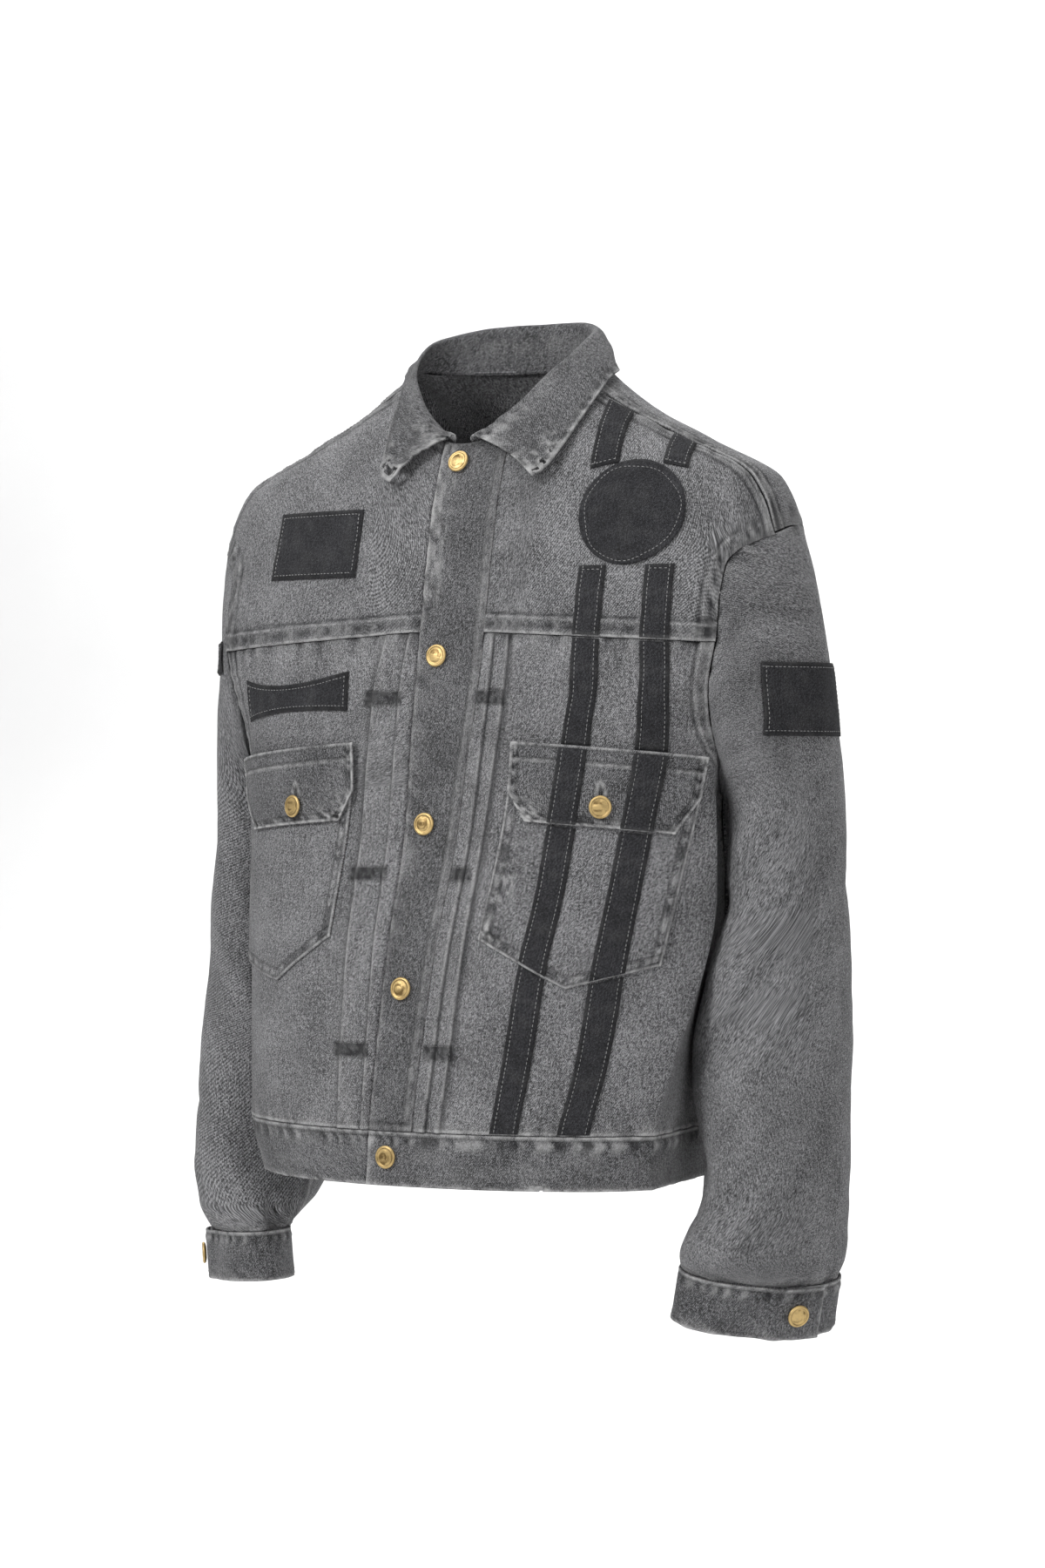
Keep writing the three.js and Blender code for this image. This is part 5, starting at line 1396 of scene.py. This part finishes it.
rows = []
for r in np.linspace(0, 3, 18):
    out_z, in_z, rise = [np.interp(r, range(4), [row[k] for row in WAISTED]) for k in range(3)]
    line = across_front(-186.0, -78.0, out_z, in_z, 60)
    line[:, 1] += rise * (1 - (2 * close_ends(60, 0.6) - 1) ** 2)
    rows.append(line)
waisted = lie_on_front("patch_waisted", np.array(rows), 1, SKIN, 3)
patch_piece(waisted, "patch_waisted")

disc = lie_on_front("patch_disc", disc_places(DISC_X, DISC_Z, DISC_RADIUS), 1, SKIN, 4)
radial = np.hypot(disc.grid[..., 0] - DISC_X, disc.grid[..., 2] - DISC_Z)
disc.top = disc.low = disc.left = disc.right = np.maximum(DISC_RADIUS - radial, 0) * 1.15
patch_piece(disc, "patch_disc", edges=())

SHORT_FLAT = {"a": (0.023, 0.062), "b": (0.021, 0.034)}
for name, x, lean, width, in_low, out_low in SHORT_STRIPS:
    t, s = np.linspace(0, 1, 22)[:, None], np.linspace(0, 1, 10)[None]
    at = x + lean * t + width * s
    places = np.stack([at, lerp(shoulder_z(at, SHOULDER_SEAM_Y - LAP), lerp(in_low, out_low, s), t)], -1)
    strip = lie_on_front("patch_short_" + name, places, 1, SKIN, 5)
    strip.lift += 0.5 * smooth((6 - strip.top) / 4)
    wide, tall = SHORT_FLAT[name]
    patch_piece(strip, "patch_short_" + name,
                edges=("low", "left", "right"), inset=3.2)

gap = 1.2
flap_line = lambda row: lambda x: lerp(row[2], row[3], (x - row[0]) / (row[1] - row[0]))
flap_top, flap_low = flap_line(FLAP[0]), flap_line(FLAP[3])
pocket_edge = lambda x: pocket_low_z(x, POCKET["left"])
LENGTHS = [
    ("yoke", lambda x: STRIP_TOP_Z + 0 * x, lambda x: yoke_seam_z(x) + gap, SKIN, 0.055),
    ("front", lambda x: yoke_seam_z(x) - gap, lambda x: flap_top(x) + gap, SKIN, 0.08),
    ("flap", lambda x: flap_top(x) - gap, lambda x: flap_low(x) + gap, FLAP_OUT + 1.3, 0.056),
    ("pocket", lambda x: flap_low(x) - gap, lambda x: pocket_edge(x) + gap, POCKET_OUT + 1.3, 0.115),
    ("low", lambda x: pocket_edge(x) - gap, lambda x: BAND_TOP_Z + gap + 0 * x, SKIN, 0.115),
]
for name in ("a", "b"):
    for where, top_at, low_at, out, long in LENGTHS:
        edges = ("top", "left", "right") if where == "yoke" else ("left", "right")
        label = f"patch_strip_{name}_{where}"
        strip = lie_on_front(label, strip_rows(name, top_at, low_at), 1, out, 6)
        if where == "yoke":
            strip.lift += 1.0 * smooth((14.5 - strip.low) / 3)
            strip.wear += 0.5 * bell(strip.low, 1.6)
        if where == "flap":
            strip.lift += 0.8 * bell(strip.top - 5, 5)
            strip.wear += 0.35 * bell(strip.low, 1.4)
        patch_piece(strip, label, edges=edges, inset=3.4)


def sleeve_column(grid, share, wanted):
    """The line down a sleeve at one share of a turn, between its own columns."""
    order = np.argsort(share)
    place = np.interp(wanted % 1.0, np.append(share[order], 1.0), np.arange(len(share) + 1.0))
    k = int(place) % len(share)
    return lerp(grid[:, order[k]], grid[:, order[(k + 1) % len(share)]], place % 1.0)


for name, side in SIDES:
    top, low, rear, ahead = SLEEVE_PATCH[name]
    grid, share = sleeve(side)
    rows = []
    for t in np.linspace(0, 1, 26):
        z = lerp(top, low, t)
        line = []
        for wanted in np.linspace(np.interp(t, np.linspace(0, 1, 5), ahead), rear, 34):
            column = sleeve_column(grid, share, wanted)
            k = np.interp(-z, -column[:, 2], np.arange(len(column)))
            i = min(int(k), len(column) - 2)
            line.append(lerp(column[i], column[i + 1], k - i))
        rows.append(line if side > 0 else line[::-1])
    cover = Cloth("patch_sleeve_" + name, np.array(rows), seed=4 + side)
    cover.lift += SKIN + 0.7
    patch_piece(cover, "patch_sleeve_" + name)


# Stitches that follow no edge of a grid are let down on to what lies under them

def tree_of(item):
    mesh = item.data
    points = [v.co for v in mesh.vertices]
    return BVHTree.FromPolygons(points, [tuple(p.vertices) for p in mesh.polygons])


TREES = {}


def drop(places, names):
    """Points and normals on the foremost of the named pieces, at places (x, z)."""
    path, normals = [], []
    for x, z in places:
        best = None
        for name in names:
            if name not in TREES:
                TREES[name] = tree_of(CLOTH_PIECES[name][1])
            hit, normal, _, away = TREES[name].ray_cast(Vector((x * MM, -0.4, z * MM)), Vector((0, 1, 0)))
            if hit is not None and (best is None or away < best[2]):
                best = (hit, normal, away)
        if best is not None:
            path.append(np.array(best[0]) / MM)
            normal = np.array(best[1])
            normals.append(normal if normal[1] < 0 else -normal)
    return np.array(path), np.array(normals)


def straight_stitches(name, first, last, count, **how):
    t = np.linspace(0, 1, count)
    line = np.stack([lerp(first[0], last[0], t), lerp(first[1], last[1], t)], -1)
    stitch_line("body", *drop(line, [name]), **how)


turns = np.linspace(0, 2 * math.pi, 90)
reach = DISC_RADIUS - 3.8 + 0.9 * np.sin(3 * turns + 1) + 0.5 * np.sin(7 * turns)
ring = np.stack([DISC_X + reach * np.cos(turns), DISC_Z + reach * np.sin(turns)], -1)
stitch_line("patches", *drop(ring, ["patch_disc"]), radius=0.3)
for x0, x1, z0, z1 in BOXES:
    front_name = "front_left" if x0 > 0 else "front_right"
    corners = [(x0, z0), (x1, z0), (x1, z1), (x0, z1), (x0, z0)]
    for first, last in zip(corners, corners[1:]):
        straight_stitches(front_name, first, last, 24, pitch=2.6, length=2.0, radius=0.28)
BUTTONHOLE = dict(count=12, pitch=1.2, length=1.0, radius=0.3)
for z in FRONT_BUTTON_Z[:4]:
    x = float(closure_line(z))
    for side in (-1, 1):
        level = z + side * 1.6
        straight_stitches("placket", (x + 2, level), (x + 14, level), **BUTTONHOLE)
for name, side in SIDES:
    x = side * FLAP_BUTTON[name]
    for step in (-1.5, 1.5):
        first, last = (x + step, FLAP_BUTTON_Z + 2), (x + step, FLAP_BUTTON_Z + 15)
        straight_stitches("flap_" + name, first, last, **BUTTONHOLE)

dress(thread_mesh("body"), SEAM_THREAD, "denim")
dress(thread_mesh("patches"), PATCH_THREAD, "patch")


# Buttons

def button_piece(node, centre, normal, seed):
    """A struck disc with a rolled rim, a shallow well and small unlettered dents."""
    normal = unit(np.asarray(normal, float))
    side_way = unit(np.cross([0, 0, 1.0], normal))
    up = np.cross(normal, side_way)
    profile = [(0.0, 0.0), (0.55, 0.0), (0.86, 0.18), (0.98, 0.42), (1.0, 0.6), (0.97, 0.78),
               (0.9, 0.92), (0.82, 0.94), (0.76, 0.86), (0.7, 0.82), (0.6, 0.86), (0.5, 0.9),
               (0.4, 0.93), (0.3, 0.96), (0.2, 0.98), (0.1, 0.99), (0.0, 1.0)]
    spans = 56
    turn = np.arange(spans) * 2 * math.pi / spans
    points, deep = [], []
    for k, (r, h) in enumerate(profile[1:-1]):
        top = k > 6
        dent = noise(r * 7 + np.cos(turn) * 3 * r, np.sin(turn) * 3 * r + seed, 6) if top else 0 * turn
        beads = 0.35 * np.cos(turn * 24) * (abs(r - 0.7) < 0.07) if top else 0 * turn
        height = BUTTON_HEIGHT * h + 0.16 * dent * (r < 0.66) + 0.12 * beads
        ring = (np.cos(turn)[:, None] * side_way + np.sin(turn)[:, None] * up) * BUTTON_RADIUS * r
        points.append(centre + ring + normal * height[:, None])
        deep.append(np.clip(-dent, 0, 1) * (r < 0.66) + (0.6 if abs(r - 0.76) < 0.05 else 0) + 0 * turn)
    points.append(np.array([centre, centre + normal * BUTTON_HEIGHT]))
    deep.append(np.zeros(2))
    count = len(profile) - 2
    faces = []
    for a in range(count - 1):
        for b in range(spans):
            c = (b + 1) % spans
            faces.append([a * spans + b, a * spans + c, (a + 1) * spans + c, (a + 1) * spans + b])
    base, cap = count * spans, count * spans + 1
    quads = np.array(faces)
    fans = []
    for b in range(spans):
        c = (b + 1) % spans
        fans.append([base, c, b])
        fans.append([cap, (count - 1) * spans + b, (count - 1) * spans + c])
    triangles = np.concatenate([quads[:, [0, 1, 2]], quads[:, [0, 2, 3]], np.array(fans)])
    item = put_mesh(node + "_struck", np.concatenate(points), triangles,
                    values={"deep": np.concatenate(deep)})
    dress(item, BRASS, "button", node)
    return item


def front_normal(x, z):
    across = front_point(x + 1.0, z) - front_point(x - 1.0, z)
    down = front_point(x, z - 1.0) - front_point(x, z + 1.0)
    return unit(np.cross(down, across))


for k, z in enumerate(FRONT_BUTTON_Z):
    x = float(closure_line(z))
    normal = front_normal(x, z)
    out = 0.4 if z < BAND_TOP_Z else 1.15
    button_piece(f"button_front_{k + 1}", front_point(x, z) + normal * out, normal, k)
for name, side in SIDES:
    x = side * FLAP_BUTTON[name]
    normal = front_normal(x, FLAP_BUTTON_Z)
    button_piece("button_flap_" + name, front_point(x, FLAP_BUTTON_Z) + normal * (FLAP_OUT + 0.5),
                 normal, 7 + side)
    on_cuff = lambda more, down: cuff_point(side, CUFF_BUTTON_AT + more, CUFF_OVER, down)
    seat = on_cuff(0.0, CUFF_HEIGHT / 2)
    ahead, below = on_cuff(0.01, CUFF_HEIGHT / 2) - seat, on_cuff(0.0, CUFF_HEIGHT) - seat
    face = unit(np.cross(ahead, below))
    flip = np.array([side, 1, 1])
    button_piece("button_cuff_" + name, seat * flip + face * flip * 0.5, face * flip, 10 + side)


# Floor, backdrop, light and camera

FLOOR_Z, BEND_Y, BEND_RADIUS, BEND_STEPS, SWEEP_COLUMNS = -1.42, 4.0, 1.4, 12, 9


def stage_sweep():
    """A pale floor that turns up into a backdrop behind, as one smooth sheet."""
    profile = [(-7.0, FLOOR_Z), (BEND_Y, FLOOR_Z)]
    for k in range(1, BEND_STEPS + 1):
        turn = math.pi / 2 * k / BEND_STEPS
        profile.append((BEND_Y + BEND_RADIUS * math.sin(turn),
                        FLOOR_Z + BEND_RADIUS * (1 - math.cos(turn))))
    profile.append((BEND_Y + BEND_RADIUS, 6.0))
    wide = SWEEP_COLUMNS
    points = np.array([[x, y, z] for y, z in profile for x in np.linspace(-9, 9, wide)]) / MM
    faces = [[r * wide + c, r * wide + c + 1, (r + 1) * wide + c + 1, (r + 1) * wide + c]
             for r in range(len(profile) - 1) for c in range(wide - 1)]
    item = put_mesh("studio_sweep", points, faces)
    n = Nodes("pale_paper")
    place = n.add("ShaderNodeNewGeometry").outputs["Position"]
    tone = n.add("ShaderNodeTexNoise", {"Vector": place, "Scale": 3.0, "Detail": 3.0}).outputs["Fac"]
    colour = n.ramp(tone, [(0.2, (0.86, 0.86, 0.86)), (0.8, (0.89, 0.89, 0.89))])
    shader = n.add("ShaderNodeBsdfPrincipled", {"Base Color": colour, "Roughness": 0.95})
    item.data.materials.append(n.finish(shader))


def soft_light(name, place, aim, size, watts):
    light = bpy.data.lights.new(name, "AREA")
    light.shape, light.size, light.energy = "SQUARE", size, watts
    item = bpy.data.objects.new(name, light)
    item.location = place
    item.rotation_euler = (Vector(aim) - Vector(place)).to_track_quat("-Z", "Y").to_euler()
    bpy.context.scene.collection.objects.link(item)


stage_sweep()
AIM = (0.0113, 0.0065, -0.323)
soft_light("key", (-1.2, -3.0, 1.7), AIM, 1.2, 92)
soft_light("fill", (3.4, -2.2, 0.2), AIM, 2.0, 40)
soft_light("top", (0.4, -0.4, 2.6), AIM, 1.6, 34)
soft_light("backdrop_light", (-2.2, 3.0, 3.8), (-2.4, 5.4, -0.4), 3.6, 260)
world = bpy.data.worlds.new("studio")
world.use_nodes = True
world.node_tree.nodes["Background"].inputs["Color"].default_value = (1, 1, 1, 1)
world.node_tree.nodes["Background"].inputs["Strength"].default_value = 0.3
bpy.context.scene.world = world

camera = bpy.data.cameras.new("camera")
camera.sensor_fit, camera.sensor_height, camera.lens = "VERTICAL", 36.0, 90.0
camera.clip_start, camera.clip_end = 0.05, 50.0
eye = bpy.data.objects.new("camera", camera)
eye.location = (1.5113, -2.5916, -0.323)
eye.rotation_euler = (Vector(AIM) - eye.location).to_track_quat("-Z", "Y").to_euler()
bpy.context.scene.collection.objects.link(eye)
bpy.context.scene.camera = eye
bpy.context.scene.view_settings.view_transform = "Standard"

bpy.context.view_layer.update()
